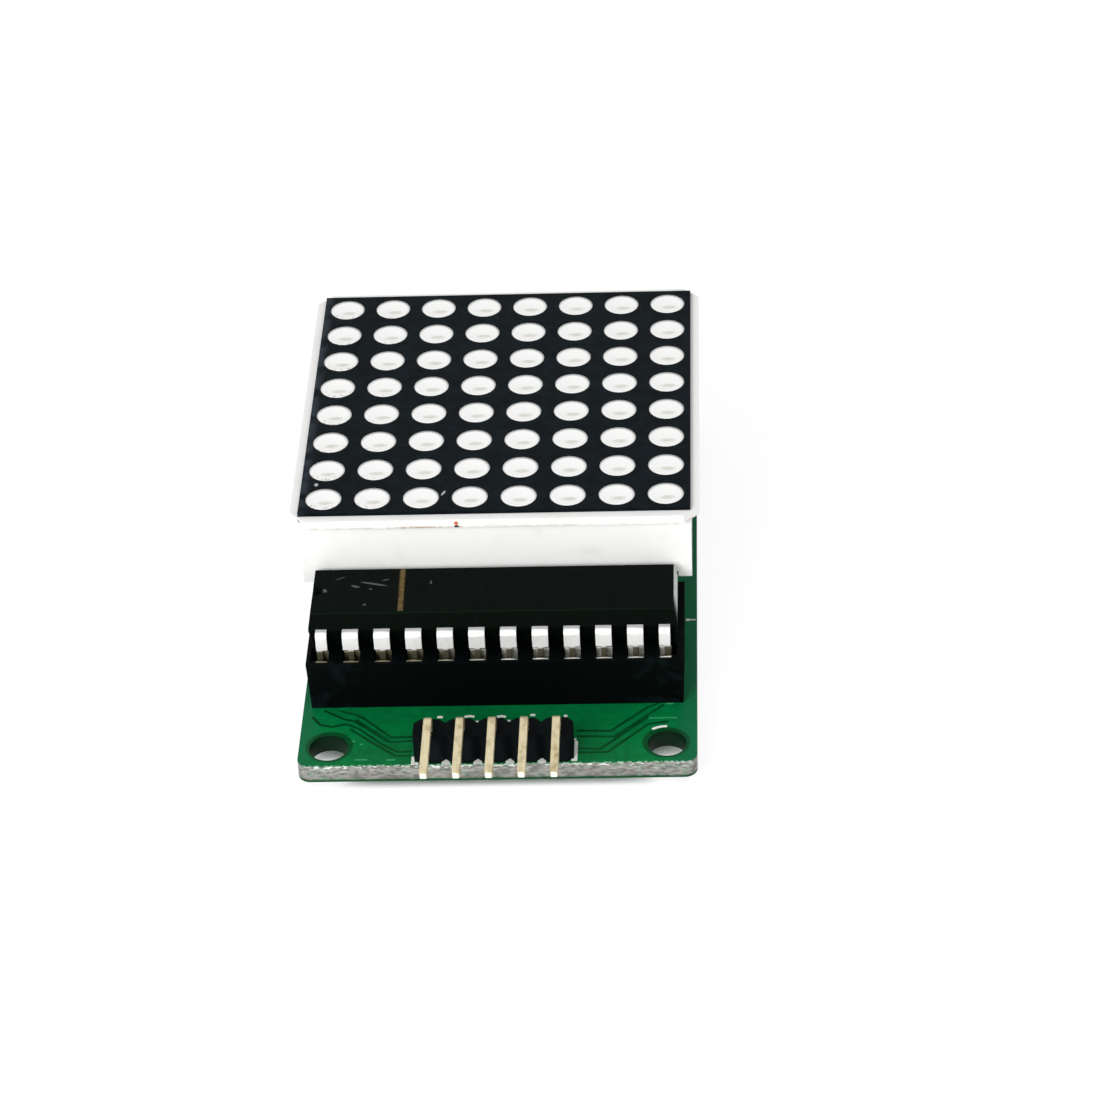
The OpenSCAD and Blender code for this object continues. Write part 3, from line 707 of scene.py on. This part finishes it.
class MODULE_OT_board(bpy.types.Operator):
    """Finish the circuit board and add its tracks, pads and printed lines"""

    bl_idname = "dot_matrix.board"
    bl_label = "Circuit board"

    def execute(self, context):
        settings = context.scene.dot_matrix.board
        dress("circuit_board", board_finish(settings))
        soften("circuit_board", 0.05 * MM)
        self.add_gaps(settings)
        self.add_underside(settings)
        self.add_print(settings)
        return {"FINISHED"}

    def add_gaps(self, settings):
        """The gaps beside the tracks, and the rings behind the two holes."""
        mesh = bmesh.new()
        top = BOARD_HIGH.z
        for path in LEFT_GAPS + RIGHT_GAPS:
            add_ribbon(mesh, [on_board(*point) for point in path], settings.gap_width,
                       top - settings.ink, top + settings.ink)
        add_ribbon(mesh, [on_board(-8.6, 3.05), on_board(-11.4, 5.7)], settings.gap_width * 1.8,
                   top - settings.ink, top + settings.ink * 0.8)
        for side in (-1, 1):
            hole = on_board(BOARD_MIDDLE / MM + side * HOLE_ASIDE, HOLE_BACK)
            add_ribbon(mesh, arc(hole, 1.68 * MM, 40, 140), settings.gap_width * 0.6,
                       top - settings.ink, top + settings.ink * 0.6)
        add_piece("track_gaps", mesh, gap_finish(settings))

    def add_underside(self, settings):
        """Tracks and pads on the underside."""
        under = BOARD_LOW.z
        tracks = bmesh.new()
        for path in underside_routes():
            add_ribbon(tracks, path, settings.track_width, under - settings.ink, under + settings.ink)
        add_piece("underside_tracks", tracks, track_finish(settings))
        pads = bmesh.new()
        for node in SOLDER_JOINTS:
            for centre, radius in centres_of(node):
                add_ring(pads, centre, radius * 0.8, radius + settings.pad_margin,
                         under - 2 * settings.ink, under + settings.ink)
        tin = metal_finish("tinned pad", paint(200, 202, 198), paint(150, 150, 142), 0.35)
        add_piece("underside_pads", pads, tin)

    def add_print(self, settings):
        """White lines round the header, white marks behind its pins, and pale flecks in the mask."""
        low, high = BOARD_HIGH.z - settings.ink, BOARD_HIGH.z + 2 * settings.ink
        ink = ink_finish(settings)
        width = settings.print_width

        outline = bmesh.new()
        left, right, front, back = -6.45, 6.48, 0.2, 2.9
        corner = [on_board(left, 1.05), on_board(left, front), on_board(left + 0.45, front)]
        add_ribbon(outline, corner, width * 1.3, low, high)
        corner = [on_board(right - 0.35, front + 0.2), on_board(right, front + 0.2), on_board(right, 2.7)]
        add_ribbon(outline, corner, width * 1.3, low, high)
        add_ribbon(outline, [on_board(left, back), on_board(right, back)], width, low, high)
        for x in [(i - 1.5) * PIN_PITCH for i in range(4)]:
            add_ribbon(outline, [on_board(x, 0.05), on_board(x, 1.2)], width * 3.4, low, high)
        add_piece("header_outline", outline, ink)

        marks = bmesh.new()
        for x, y, half in ((-4.57, 5.9, 0.22), (-2.2, 5.92, 0.4), (0.38, 5.86, 0.36), (2.9, 6.0, 0.2),
                           (5.54, 5.83, 0.14), (-1.56, 5.28, 0.1), (1.0, 5.31, 0.1)):
            bow = [on_board(x - half, y), on_board(x, y + 0.25 * half), on_board(x + half, y)]
            add_ribbon(marks, bow, width * 1.2, low, high)
        add_ribbon(marks, [on_board(15.2, 18.1), on_board(15.55, 18.1)], width * 1.2, low, high)
        add_ribbon(marks, [on_board(15.5, 18.1), on_board(16.0, 18.1)], width * 0.5, low, high)
        hole = on_board(BOARD_MIDDLE / MM + HOLE_ASIDE, HOLE_BACK)
        add_ribbon(marks, arc(hole, 2.1 * MM, 90, 124), width * 1.1, low, high)
        add_piece("printed_marks", marks, ink)

        flecks = bmesh.new()
        for x, y, half in ((-11.35, 3.1, 0.09), (-10.7, 2.7, 0.12), (-10.6, 0.78, 0.5), (-8.2, 0.72, 0.35),
                           (13.3, 5.47, 1.2), (13.9, 7.25, 0.3)):
            add_ribbon(flecks, [on_board(x - half, y), on_board(x + half, y - 0.02)], 0.13 * MM,
                       low, high - settings.ink)
        pale = plastic_finish("pale green mask", paint(64, 156, 108), paint(30, 130, 80))
        add_piece("mask_flecks", flecks, pale)


# Header --------------------------------------------------------------------------------------


def pin_finish(settings):
    """Champagne plating, darker along the pins, with painted highlights on their front end faces, painted
    glints as white flecks, and painted shade in brown on their right sides near the bends.
    """
    finish = Finish("champagne plating", metallic=0.75)
    x, y, z = finish.axes()
    film = finish.noise(0.7, detail=4, stretch=(1, 0.6, 1))
    tone = finish.blend(settings.plating, settings.tarnish, film.rise(0.42, 0.85))
    # Painted glints: small white flecks in the highlight colour.
    speckle = finish.noise(0.16, detail=2, seed=21).rise(0.6, 0.7)
    tone = finish.blend(tone, settings.cut_end, speckle * 0.6)
    # Painted shade: the right-facing sides of the pins, near and behind the bends, are painted brown in the
    # smudge colour.
    bend = y.rise(BOARD_LOW.y / MM + 0.7, BOARD_LOW.y / MM + 1.3)
    bend_side_shade = finish.noise(0.3, detail=3, seed=24).rise(0.42, 0.6) * finish.facing("X").rise(0.2, 0.6)
    tone = finish.blend(tone, settings.smudge, bend * bend_side_shade)
    # Painted highlight: the end faces at the front of the pins are painted near white.
    front = (0 - finish.facing("Y")).rise(0.6, 0.9) * (y < (CAD_BOX[0][1] / MM + 0.5))
    finish.set("Base Color", finish.blend(tone, settings.cut_end, front))
    finish.set("Roughness", 0.3 + 0.25 * finish.noise(0.3, detail=3, seed=3))
    finish.relief(finish.noise(0.08, stretch=(4, 0.5, 4), seed=6), 0.006)
    return finish


class MODULE_OT_header(bpy.types.Operator):
    """Finish the input header and its pins"""

    bl_idname = "dot_matrix.header"
    bl_label = "Input header"

    def execute(self, context):
        settings = context.scene.dot_matrix.header
        dress("header_block", plastic_finish("header plastic", settings.plastic,
                                             shade(settings.plastic, 1.8), specular=0.04))
        soften("header_block", 0.06 * MM)
        plating = pin_finish(settings)
        for pin in HEADER_PINS:
            dress(pin, plating)
            soften(pin, settings.pin_edge)
        return {"FINISHED"}


# Chip socket ---------------------------------------------------------------------------------


def contact_finish(settings):
    """Painted reflection: dull brass at the left shading into bright tin at the right; black past the outer
    leads.
    """
    finish = Finish("contact metal", metallic=1.0)
    x, y, z = finish.axes()
    # Painted reflection: the contacts brighten from brass at the left to tin at the right.
    share = (x + 3 * finish.noise(1.5, seed=2)).rise(-7, 6)
    tone = finish.blend(settings.brass, settings.tin, share)
    dull = finish.noise(0.5, detail=3, seed=5).rise(0.45, 0.75) * 0.5
    tone = finish.blend(tone, shade(settings.brass, 0.6), dull)
    outside = abs(x - CONTACTS_MIDDLE).rise(CONTACTS_REACH - 0.05, CONTACTS_REACH + 0.05)
    finish.set("Base Color", finish.blend(tone, settings.plastic, outside))
    finish.set("Roughness", 0.25 + 0.2 * finish.noise(0.6, seed=4))
    return finish


def socket_finish(settings):
    """Black plastic with bluish patches towards both ends."""
    finish = Finish("socket plastic", specular=0.03)
    x, y, z = finish.axes()
    ends = abs(x).rise(8, 14.5)
    patch = finish.noise(1.3, detail=4, seed=3).rise(0.48, 0.7) * ends
    finish.set("Base Color", finish.blend(settings.plastic, settings.smudge, patch))
    finish.set("Roughness", 0.4 + 0.25 * finish.noise(0.8, seed=5))
    finish.relief(finish.noise(0.2, detail=3, seed=9), 0.01)
    return finish


class MODULE_OT_socket(bpy.types.Operator):
    """Finish the chip socket and its contacts"""

    bl_idname = "dot_matrix.socket"
    bl_label = "Chip socket"

    def execute(self, context):
        settings = context.scene.dot_matrix.socket
        dress("chip_socket", socket_finish(settings))
        soften("chip_socket", settings.edge)
        dress("chip_socket_contacts", contact_finish(settings))
        soften("chip_socket_contacts", 0.02 * MM, segments=1)
        return {"FINISHED"}


# Driver chip ---------------------------------------------------------------------------------


def resin_finish(settings):
    """Black moulding compound with a brownish stripe and rubbed marks on its top, a painted highlight along
    its front top edge and a painted reflection on its right end.
    """
    finish = Finish("moulding compound", specular=0.03)
    x, y, z = finish.axes()
    y = y - CHIP_CENTRE.y / MM
    top = finish.facing("Z").rise(0.85, 0.97)
    grain = finish.noise(0.4, detail=4)
    tone = finish.blend(settings.resin, shade(settings.resin, 2.0), grain.rise(0.5, 0.8))
    # Painted highlight: a lighter band along the front edge of the top.
    front = y.fall(-2.95, -2.75) * (z > (CHIP_HIGH.z / MM - 0.2))
    tone = finish.blend(tone, shade(settings.resin, 6), front)
    # Painted reflection: the upper part of the right end is painted light grey, fading towards the front.
    worn = finish.facing("X").rise(0.3, 0.7) * finish.noise(0.5, detail=3, seed=13).rise(0.15, 0.45)
    worn = worn * (z > (CHIP_HIGH.z / MM - 1.4)) * y.rise(-2.6, -0.6)
    tone = finish.blend(tone, settings.worn, worn)

    half = settings.stripe_width / 2 / MM
    off = abs(x - STRIPE_PLACE + 0.016 * y)
    ragged = 0.35 + 0.65 * finish.noise(0.3, detail=4, seed=5).rise(0.3, 0.55)
    tone = finish.blend(tone, settings.stripe, off.fall(half - 0.12, half + 0.06) * top * ragged)

    marks = [
        ((-13.8, 0.0), (0.3, 0.24), -0.6), ((-11.3, 0.5), (0.42, 0.14), -0.35),
        ((-9.8, 0.8), (1.3, 0.12), -0.25), ((-10.05, 0.15), (0.14, 0.1), 0.0),
        ((-10.4, -1.9), (0.16, 0.12), 0.0), ((-12.6, 1.6), (0.5, 0.05), 0.5),
        ((-8.9, 1.3), (0.35, 0.07), 0.4), ((-5.2, 0.9), (0.08, 0.3), 0.0),
    ]
    rubbed = sum(finish.spot(x, y, centre, radii, turn) for centre, radii, turn in marks)
    tone = finish.blend(tone, settings.scratch, (rubbed * top).math("MINIMUM", 1) * 0.45)
    finish.set("Base Color", tone)
    finish.set("Roughness", 0.42 + 0.25 * finish.noise(0.5, detail=3, seed=2))
    finish.relief(finish.noise(0.12, detail=3, seed=7), 0.01)
    return finish


def lead_finish(settings):
    """Bright tin on the shoulders, with painted shade where the leads go down into their contacts."""
    finish = Finish("bright tin", metallic=0.4)
    x, y, z = finish.axes()
    film = finish.noise(0.6, detail=4, seed=3)
    tone = finish.blend(settings.lead, shade(settings.lead, 0.88), film.rise(0.45, 0.8))
    # Painted shade: the leads turn dull and dark below the top of the socket.
    low = z.fall(SOCKET_TOP / MM + 0.3, SOCKET_TOP / MM + 0.55)
    tone = finish.blend(tone, settings.lead_low, low)
    finish.set("Base Color", tone)
    finish.set("Roughness", 0.3 + 0.2 * finish.noise(0.2, seed=7))
    finish.relief(finish.noise(0.12, stretch=(3, 0.4, 3), seed=2), 0.004)
    return finish


class MODULE_OT_chip(bpy.types.Operator):
    """Finish the driver chip and its leads"""

    bl_idname = "dot_matrix.chip"
    bl_label = "Driver chip"

    def execute(self, context):
        settings = context.scene.dot_matrix.chip
        dress("chip_body", resin_finish(settings))
        soften("chip_body", settings.edge)
        tin = lead_finish(settings)
        for lead in CHIP_LEADS:
            dress(lead, tin)
            soften(lead, 0.03 * MM, segments=1)
        return {"FINISHED"}


# LED display ---------------------------------------------------------------------------------


def shell_finish(settings):
    """White shell with faint grey smudges, and a ragged brown line along its front at the rim's lower edge.
    """
    finish = Finish("display shell", specular=0.3)
    x, y, z = finish.axes()
    cloud = finish.noise(2.2, detail=4, seed=1)
    tone = finish.blend(settings.shell, shade(settings.shell, 0.9), cloud.rise(0.5, 0.9))

    rim = (HOUSING_HIGH.z - RIM_HEIGHT) / MM
    # A ragged brown line along the front at the rim's lower edge, stronger towards the left.
    front = y.fall(HOUSING_LOW.y / MM + 0.9, HOUSING_LOW.y / MM + 1.1)
    ragged = finish.noise(0.9, detail=4, stretch=(1, 1, 0.2), seed=4).rise(0.35, 0.62)
    line = abs(z - rim - 0.02).fall(0.02, 0.02 + 0.3 * finish.noise(1.3, seed=6)) * front
    amount = 0.4 + 0.6 * finish.spot(x, z, (-6, rim), (5, 9), softness=0.8)
    tone = finish.blend(tone, settings.dirt, line * ragged * amount)
    rust = finish.spot(x, z, (-3.0, rim + 0.42), (0.2, 0.2)) * front
    tone = finish.blend(tone, paint(214, 110, 66), rust)
    dark = finish.spot(x, z, (-2.98, rim + 0.06), (0.22, 0.22)) * front
    dark = dark + finish.spot(x, z, (-15.75, rim + 0.55), (0.14, 0.2)) * front * 0.6
    tone = finish.blend(tone, paint(66, 56, 44), dark)

    # A thin yellowish line on the ledge just left of the black face.
    left = FACE_LOW.x / MM
    left_ledge_line = x.rise(left - 0.16, left - 0.1) * x.fall(left, left + 0.05) * z.rise(rim + 0.9, rim + 0.95)
    tone = finish.blend(tone, paint(196, 186, 140), left_ledge_line * 0.8)
    finish.set("Base Color", tone)
    finish.set("Roughness", 0.42 + 0.2 * finish.noise(1.2, seed=3))
    finish.relief(finish.noise(0.5, detail=2, seed=8), 0.008)
    return finish


def face_finish(settings):
    """Black film with a painted highlight along its left edge and a few light specks."""
    finish = Finish("black film", specular=0.04)
    x, y, z = finish.axes()
    y = y - FACE_LOW.y / MM
    cloud = finish.noise(1.1, detail=4)
    tone = finish.blend(shade(settings.face, 0.75), shade(settings.face, 1.5), cloud.rise(0.35, 0.75))
    left = FACE_LOW.x / MM
    # Painted highlight: a greyer strip along the left edge of the face.
    strip = x.fall(left + 0.2, left + 0.9) * finish.noise(1.6, detail=3, seed=3).rise(0.35, 0.6)
    tone = finish.blend(tone, settings.face_edge, strip * 0.8)
    specks = finish.spot(x, y, (-14.6, 3.95), (0.2, 0.26), softness=0.8)
    specks = specks + finish.spot(x, y, (-4.15, 2.5), (0.12, 0.42), turn=-0.45, softness=0.8)
    tone = finish.blend(tone, paint(196, 200, 204), specks.math("MINIMUM", 1) * 0.85)
    finish.set("Base Color", tone)
    finish.set("Roughness", 0.4 + 0.25 * finish.noise(0.8, seed=5))
    finish.relief(finish.noise(0.3, detail=3, seed=9), 0.006)
    return finish


def dot_finish(settings):
    """Milky epoxy: a dim grey chip in each dot, brown flecks near the front edge of the left dots, and
    painted shade along the front edge of each dot.
    """
    finish = Finish("milky epoxy", roughness=0.22, specular=0.35, coat=0.2)
    x, y, z = finish.axes()
    pitch = DOT_PITCH / MM
    across = (x * (1 / pitch)).math("FRACT") * pitch - pitch / 2
    column = (y - FACE_CENTRE.y / MM) * (1 / pitch)
    along = column.math("FRACT") * pitch - pitch / 2
    out = (across * across + along * along).math("SQRT")

    blotch = finish.noise(0.45, detail=3, seed=3)
    die = finish.spot(across, along, (0.14, -0.4), (0.8, 0.36), softness=1.0)
    tone = finish.blend(settings.dot, settings.dot_shade, die * (0.4 + 0.8 * blotch).math("MINIMUM", 1))
    low = along.fall(-1.2, -0.1)
    # Brown flecks near the front edge of the dots in the left columns.
    front_edge_flecks = finish.noise(0.35, detail=3, seed=7).rise(0.5, 0.62) * out.rise(0.7, 1.3) * low * x.fall(-14, -6)
    tone = finish.blend(tone, paint(150, 132, 104), front_edge_flecks * 0.6)
    # Painted shade: an olive band along the front edge of each dot.
    rim = out.rise(1.34, 1.47) * along.fall(-1.2, -0.2)
    tone = finish.blend(tone, settings.dot_rim, rim * 0.7)
    finish.set("Base Color", tone)
    return finish


def add_dot(mesh, centre, radius, top, hollow, depth, steps=40, rings=5):
    """Adds one cup of epoxy, closed below, its top sinking to the middle."""
    rows = []
    for ring in range(rings):
        share = 1 - ring / rings
        z = top - hollow * (1 - share * share)
        rows.append([mesh.verts.new((*point, z)) for point in circle(centre, radius * share, steps)])
    floor = [mesh.verts.new((*point, top - depth)) for point in circle(centre, radius * 0.7, steps)]
    middle = mesh.verts.new((*centre, top - hollow))
    add_wall(mesh, floor, rows[0])
    for outer, inner in zip(rows, rows[1:]):
        add_wall(mesh, outer, inner)
    for i in range(steps):
        mesh.faces.new((rows[-1][i], rows[-1][(i + 1) % steps], middle))
    mesh.faces.new(reversed(floor))


class MODULE_OT_display_shell(bpy.types.Operator):
    """Finish the display's housing, face, substrate, potting and pins"""

    bl_idname = "dot_matrix.display_shell"
    bl_label = "Display housing"

    def execute(self, context):
        settings = context.scene.dot_matrix.display
        parts = context.scene.dot_matrix.parts
        dress("display_housing", shell_finish(settings))
        soften("display_housing", settings.edge)
        dress("display_face", face_finish(settings))
        soften("display_face", 0.03 * MM, segments=1)
        dress("display_substrate", plastic_finish("substrate", parts.substrate,
                                                  shade(parts.substrate, 0.8), specular=0.3))
        dress("display_potting", plastic_finish("potting resin", parts.potting,
                                                shade(parts.potting, 0.86), specular=0.4, grain=1.5))
        dress("display_pins", metal_finish("display pin", parts.tin, shade(parts.tin, 0.7)))
        return {"FINISHED"}


class MODULE_OT_dots(bpy.types.Operator):
    """Replace the plain epoxy plugs by dished milky dots"""

    bl_idname = "dot_matrix.dots"
    bl_label = "Dots"

    def execute(self, context):
        settings = context.scene.dot_matrix.display
        dice = metal_finish("light emitting chip", paint(180, 150, 60), paint(120, 96, 40), 0.4, patch=0.2)
        dress("led_dice", dice)
        mesh = bmesh.new()
        for low, high in solids_of("dot_epoxy"):
            add_dot(mesh, ((low + high) / 2).xy, (high.x - low.x) / 2, high.z,
                    settings.dot_hollow, high.z - low.z)
        dots = add_piece("milky_dots", mesh, dot_finish(settings), ["dot_epoxy"])
        for face in dots.data.polygons:
            face.use_smooth = face.normal.z > 0.5
        return {"FINISHED"}


# Display sockets -----------------------------------------------------------------------------


class MODULE_OT_strips(bpy.types.Operator):
    """Finish the two socket strips that carry the display"""

    bl_idname = "dot_matrix.strips"
    bl_label = "Socket strips"

    def execute(self, context):
        settings = context.scene.dot_matrix.socket
        plastic = plastic_finish("strip plastic", settings.plastic, settings.smudge, specular=0.2)
        for strip in ("front_strip", "rear_strip"):
            dress(strip, plastic)
            soften(strip, settings.edge)
            contacts = f"{strip}_contacts"
            dress(contacts, metal_finish(contacts, settings.tin, settings.brass))
        return {"FINISHED"}


# Small parts ---------------------------------------------------------------------------------


def ring_bands(finish, tone, value, bands):
    """Paints bands of (centre, half width, colour) across a value."""
    for centre, half, shade_of_band in bands:
        mask = abs(value - centre).fall(half - 0.04, half + 0.04)
        tone = finish.blend(tone, shade_of_band, mask)
    return tone


def resistor_finish(settings):
    """Lacquered body with painted rings."""
    finish = Finish("resistor lacquer", roughness=0.3, specular=0.4, coat=0.3)
    low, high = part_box("resistor")
    centre = (low + high) / (2 * MM)
    size = high - low
    x, y, z = finish.axes()
    along, middle = (x, centre.x) if size.x > size.y else (y, centre.y)
    cloud = finish.noise(0.8, detail=3)
    tone = finish.blend(settings.lacquer, shade(settings.lacquer, 0.8), cloud.rise(0.4, 0.8))
    rings = [(-2.1, (94, 52, 26)), (-1.0, (14, 14, 14)), (0.0, (210, 96, 24)), (2.1, (176, 138, 60))]
    bands = [(middle + offset, 0.26, paint(*tint)) for offset, tint in rings]
    finish.set("Base Color", ring_bands(finish, tone, along, bands))
    return finish


def sleeve_finish(settings):
    """Shrunk sleeve with a pale band down one side."""
    finish = Finish("shrunk sleeve", roughness=0.35, specular=0.35)
    low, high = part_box("electrolytic_sleeve")
    centre = (low + high) / (2 * MM)
    x, y, z = finish.axes()
    cloud = finish.noise(1.0, detail=3)
    tone = finish.blend(settings.film, shade(settings.film, 1.7), cloud.rise(0.4, 0.8))
    band = (x - centre.x).rise(1.2, 1.3) * abs(y - centre.y).fall(0.75, 0.85)
    tone = finish.blend(tone, paint(178, 182, 186), band * 0.9)
    finish.set("Base Color", tone)
    finish.relief(finish.noise(0.6, detail=2, stretch=(1, 1, 0.2), seed=3), 0.02)
    return finish


def can_finish(settings):
    """Drawn aluminium with a cross scored in its top."""
    finish = Finish("aluminium can", metallic=1.0)
    low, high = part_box("electrolytic_can")
    centre = (low + high) / (2 * MM)
    x, y, z = finish.axes()
    film = finish.noise(0.5, detail=4, stretch=(1, 1, 0.3))
    tone = finish.blend(settings.can, shade(settings.can, 0.75), film.rise(0.4, 0.8))
    score = abs(x - centre.x).fall(0.05, 0.12) + abs(y - centre.y).fall(0.05, 0.12)
    score = score.math("MINIMUM", 1) * finish.facing("Z").rise(0.8, 0.95)
    finish.set("Base Color", finish.blend(tone, shade(settings.can, 0.4), score * 0.8))
    finish.set("Roughness", 0.28 + 0.2 * finish.noise(0.4, seed=5))
    finish.relief(1 - score, 0.08)
    return finish


class MODULE_OT_small_parts(bpy.types.Operator):
    """Finish the resistor and the two capacitors between the strips"""

    bl_idname = "dot_matrix.small_parts"
    bl_label = "Small parts"

    def execute(self, context):
        settings = context.scene.dot_matrix.parts
        dress("resistor", resistor_finish(settings))
        dress("electrolytic_sleeve", sleeve_finish(settings))
        dress("electrolytic_can", can_finish(settings))
        dress("electrolytic_bung", plastic_finish("rubber bung", paint(26, 26, 26), paint(48, 46, 44)))
        dress("ceramic_capacitor", plastic_finish("ceramic dip", settings.dip, shade(settings.dip, 0.7),
                                                  specular=0.4, roughness=0.3, grain=0.7))
        wire = metal_finish("tinned wire", settings.tin, shade(settings.tin, 0.7))
        for node in ("resistor_leads", "electrolytic_leads", "ceramic_capacitor_leads"):
            dress(node, wire)
        return {"FINISHED"}


class MODULE_OT_solder(bpy.types.Operator):
    """Finish the solder joints"""

    bl_idname = "dot_matrix.solder"
    bl_label = "Solder joints"

    def execute(self, context):
        settings = context.scene.dot_matrix.parts
        solder = metal_finish("solder", settings.solder, shade(settings.solder, 0.75), 0.18, patch=0.5)
        for node in SOLDER_JOINTS:
            dress(node, solder)
        return {"FINISHED"}


# Stage ---------------------------------------------------------------------------------------


def seen_directly(graph):
    """1 for rays from the camera, a reflection or a clear material, 0 for scattered light."""
    camera = graph.node("ShaderNodeLightPath", output="Is Camera Ray")
    seen = camera + camera.other("Is Glossy Ray") + camera.other("Is Transmission Ray")
    return seen.math("MINIMUM", 1)


def contact_shadow(graph):
    """1 where the module stands close over the floor and shuts out the light, 0 in the open."""
    near = graph.node("ShaderNodeAmbientOcclusion", inputs={"Distance": SHADOW_REACH}, output="AO")
    return near.fall(0.05, 0.4)


def floor_material(settings):
    """White paper that looks pure white but still takes the module's shadow."""
    material = bpy.data.materials.new("white paper")
    material.use_nodes = True
    graph = Graph(material.node_tree)
    graph.tree.nodes.clear()
    shadow = contact_shadow(graph)
    lit = graph.blend((1, 1, 1), tuple(settings.contact), shadow)
    glow = graph.node("ShaderNodeEmission", inputs={"Color": lit, "Strength": FLOOR_GLOW})
    grain = graph.node("ShaderNodeTexNoise", inputs={"Scale": 900.0, "Detail": 3.0})
    shown = graph.blend((0.22, 0.22, 0.22), (0.24, 0.24, 0.24), grain)
    shown = graph.blend(shown, (0, 0, 0), shadow)
    veil = graph.node("ShaderNodeBsdfDiffuse", inputs={"Color": shown})
    bright = graph.node("ShaderNodeAddShader", inputs={0: glow, 1: veil})
    plain = graph.node("ShaderNodeBsdfDiffuse", inputs={"Color": tuple(settings.floor)})
    paper = graph.node("ShaderNodeMixShader", inputs={0: seen_directly(graph), 1: plain, 2: bright})
    below = graph.node("ShaderNodeNewGeometry", output="Backfacing")
    clear = graph.node("ShaderNodeBsdfTransparent")
    mix = graph.node("ShaderNodeMixShader", inputs={0: below, 1: paper, 2: clear})
    graph.node("ShaderNodeOutputMaterial", inputs={"Surface": mix})
    return material


def set_world(ambient):
    """White where it is seen and a plain level of light where it isn't."""
    world = bpy.data.worlds.new("studio")
    world.use_nodes = True
    bpy.context.scene.world = world
    graph = Graph(world.node_tree)
    background = graph.tree.nodes["Background"]
    seen = seen_directly(graph)
    graph.feed(background.inputs["Color"], (1, 1, 1))
    graph.feed(background.inputs["Strength"], ambient + (1 - ambient) * seen)


def add_lamp(name, place, power):
    """A square lamp that points at the origin, where the module stands."""
    light = bpy.data.lights.new(name, "AREA")
    light.size = LAMP_SIZE
    light.energy = power
    lamp = bpy.data.objects.new(name, light)
    lamp.location = place
    lamp.rotation_euler = (-Vector(place)).to_track_quat("-Z", "Y").to_euler()
    bpy.context.scene.collection.objects.link(lamp)


class MODULE_OT_stage(bpy.types.Operator):
    """Add the floor, the light and the camera"""

    bl_idname = "dot_matrix.stage"
    bl_label = "Stage"

    def execute(self, context):
        settings = context.scene.dot_matrix.stage
        mesh = bmesh.new()
        bmesh.ops.create_grid(mesh, x_segments=2, y_segments=2, size=3)
        data = bpy.data.meshes.new("floor")
        mesh.to_mesh(data)
        mesh.free()
        data.materials.append(floor_material(settings))
        floor = bpy.data.objects.new("floor", data)
        context.scene.collection.objects.link(floor)

        set_world(settings.ambient)
        add_lamp("key", KEY_PLACE, settings.key_power)
        add_lamp("fill", FILL_PLACE, settings.fill_power)
        self.add_camera(context, settings)
        context.scene.view_settings.view_transform = "Standard"
        return {"FINISHED"}

    def add_camera(self, context, settings):
        """The camera, turned a little about its own axis."""
        data = bpy.data.cameras.new("camera")
        data.lens = settings.camera_lens
        data.sensor_width = 36
        data.clip_start = 0.01
        camera = bpy.data.objects.new("camera", data)
        place = Vector(settings.camera_place)
        look = (Vector(settings.camera_aim) - place).to_track_quat("-Z", "Y")
        camera.location = place
        camera.rotation_euler = (look @ Quaternion((0, 0, 1), settings.camera_roll)).to_euler()
        context.scene.collection.objects.link(camera)
        context.scene.camera = camera


# Add-on --------------------------------------------------------------------------------------


STEPS = [
    MODULE_OT_board, MODULE_OT_header, MODULE_OT_socket, MODULE_OT_chip, MODULE_OT_display_shell,
    MODULE_OT_dots, MODULE_OT_strips, MODULE_OT_small_parts, MODULE_OT_solder, MODULE_OT_stage,
]


class MODULE_PT_panel(bpy.types.Panel):
    """Settings and steps of the LED dot matrix module"""

    bl_label = "LED dot matrix"
    bl_idname = "MODULE_PT_panel"
    bl_space_type = "VIEW_3D"
    bl_region_type = "UI"
    bl_category = "Dot matrix"

    def draw(self, context):
        for step in STEPS:
            self.layout.operator(step.bl_idname)
        for name in ModuleSettings.__annotations__:
            group = getattr(context.scene.dot_matrix, name)
            box = self.layout.box()
            box.label(text=ModuleSettings.bl_rna.properties[name].name)
            for setting in type(group).__annotations__:
                box.prop(group, setting)


def register():
    for item in (*GROUPS, ModuleSettings, *STEPS, MODULE_PT_panel):
        bpy.utils.register_class(item)
    bpy.types.Scene.dot_matrix = PointerProperty(type=ModuleSettings)


def unregister():
    del bpy.types.Scene.dot_matrix
    for item in (MODULE_PT_panel, *reversed(STEPS), ModuleSettings, *reversed(GROUPS)):
        bpy.utils.unregister_class(item)


def main():
    register()
    for name in bpy.data.objects.keys():
        if name in ("Cube", "Light", "Camera"):
            bpy.data.objects.remove(bpy.data.objects[name])
    for step in STEPS:
        group, operator = step.bl_idname.split(".")
        getattr(getattr(bpy.ops, group), operator)()


if __name__ == "__main__":
    main()
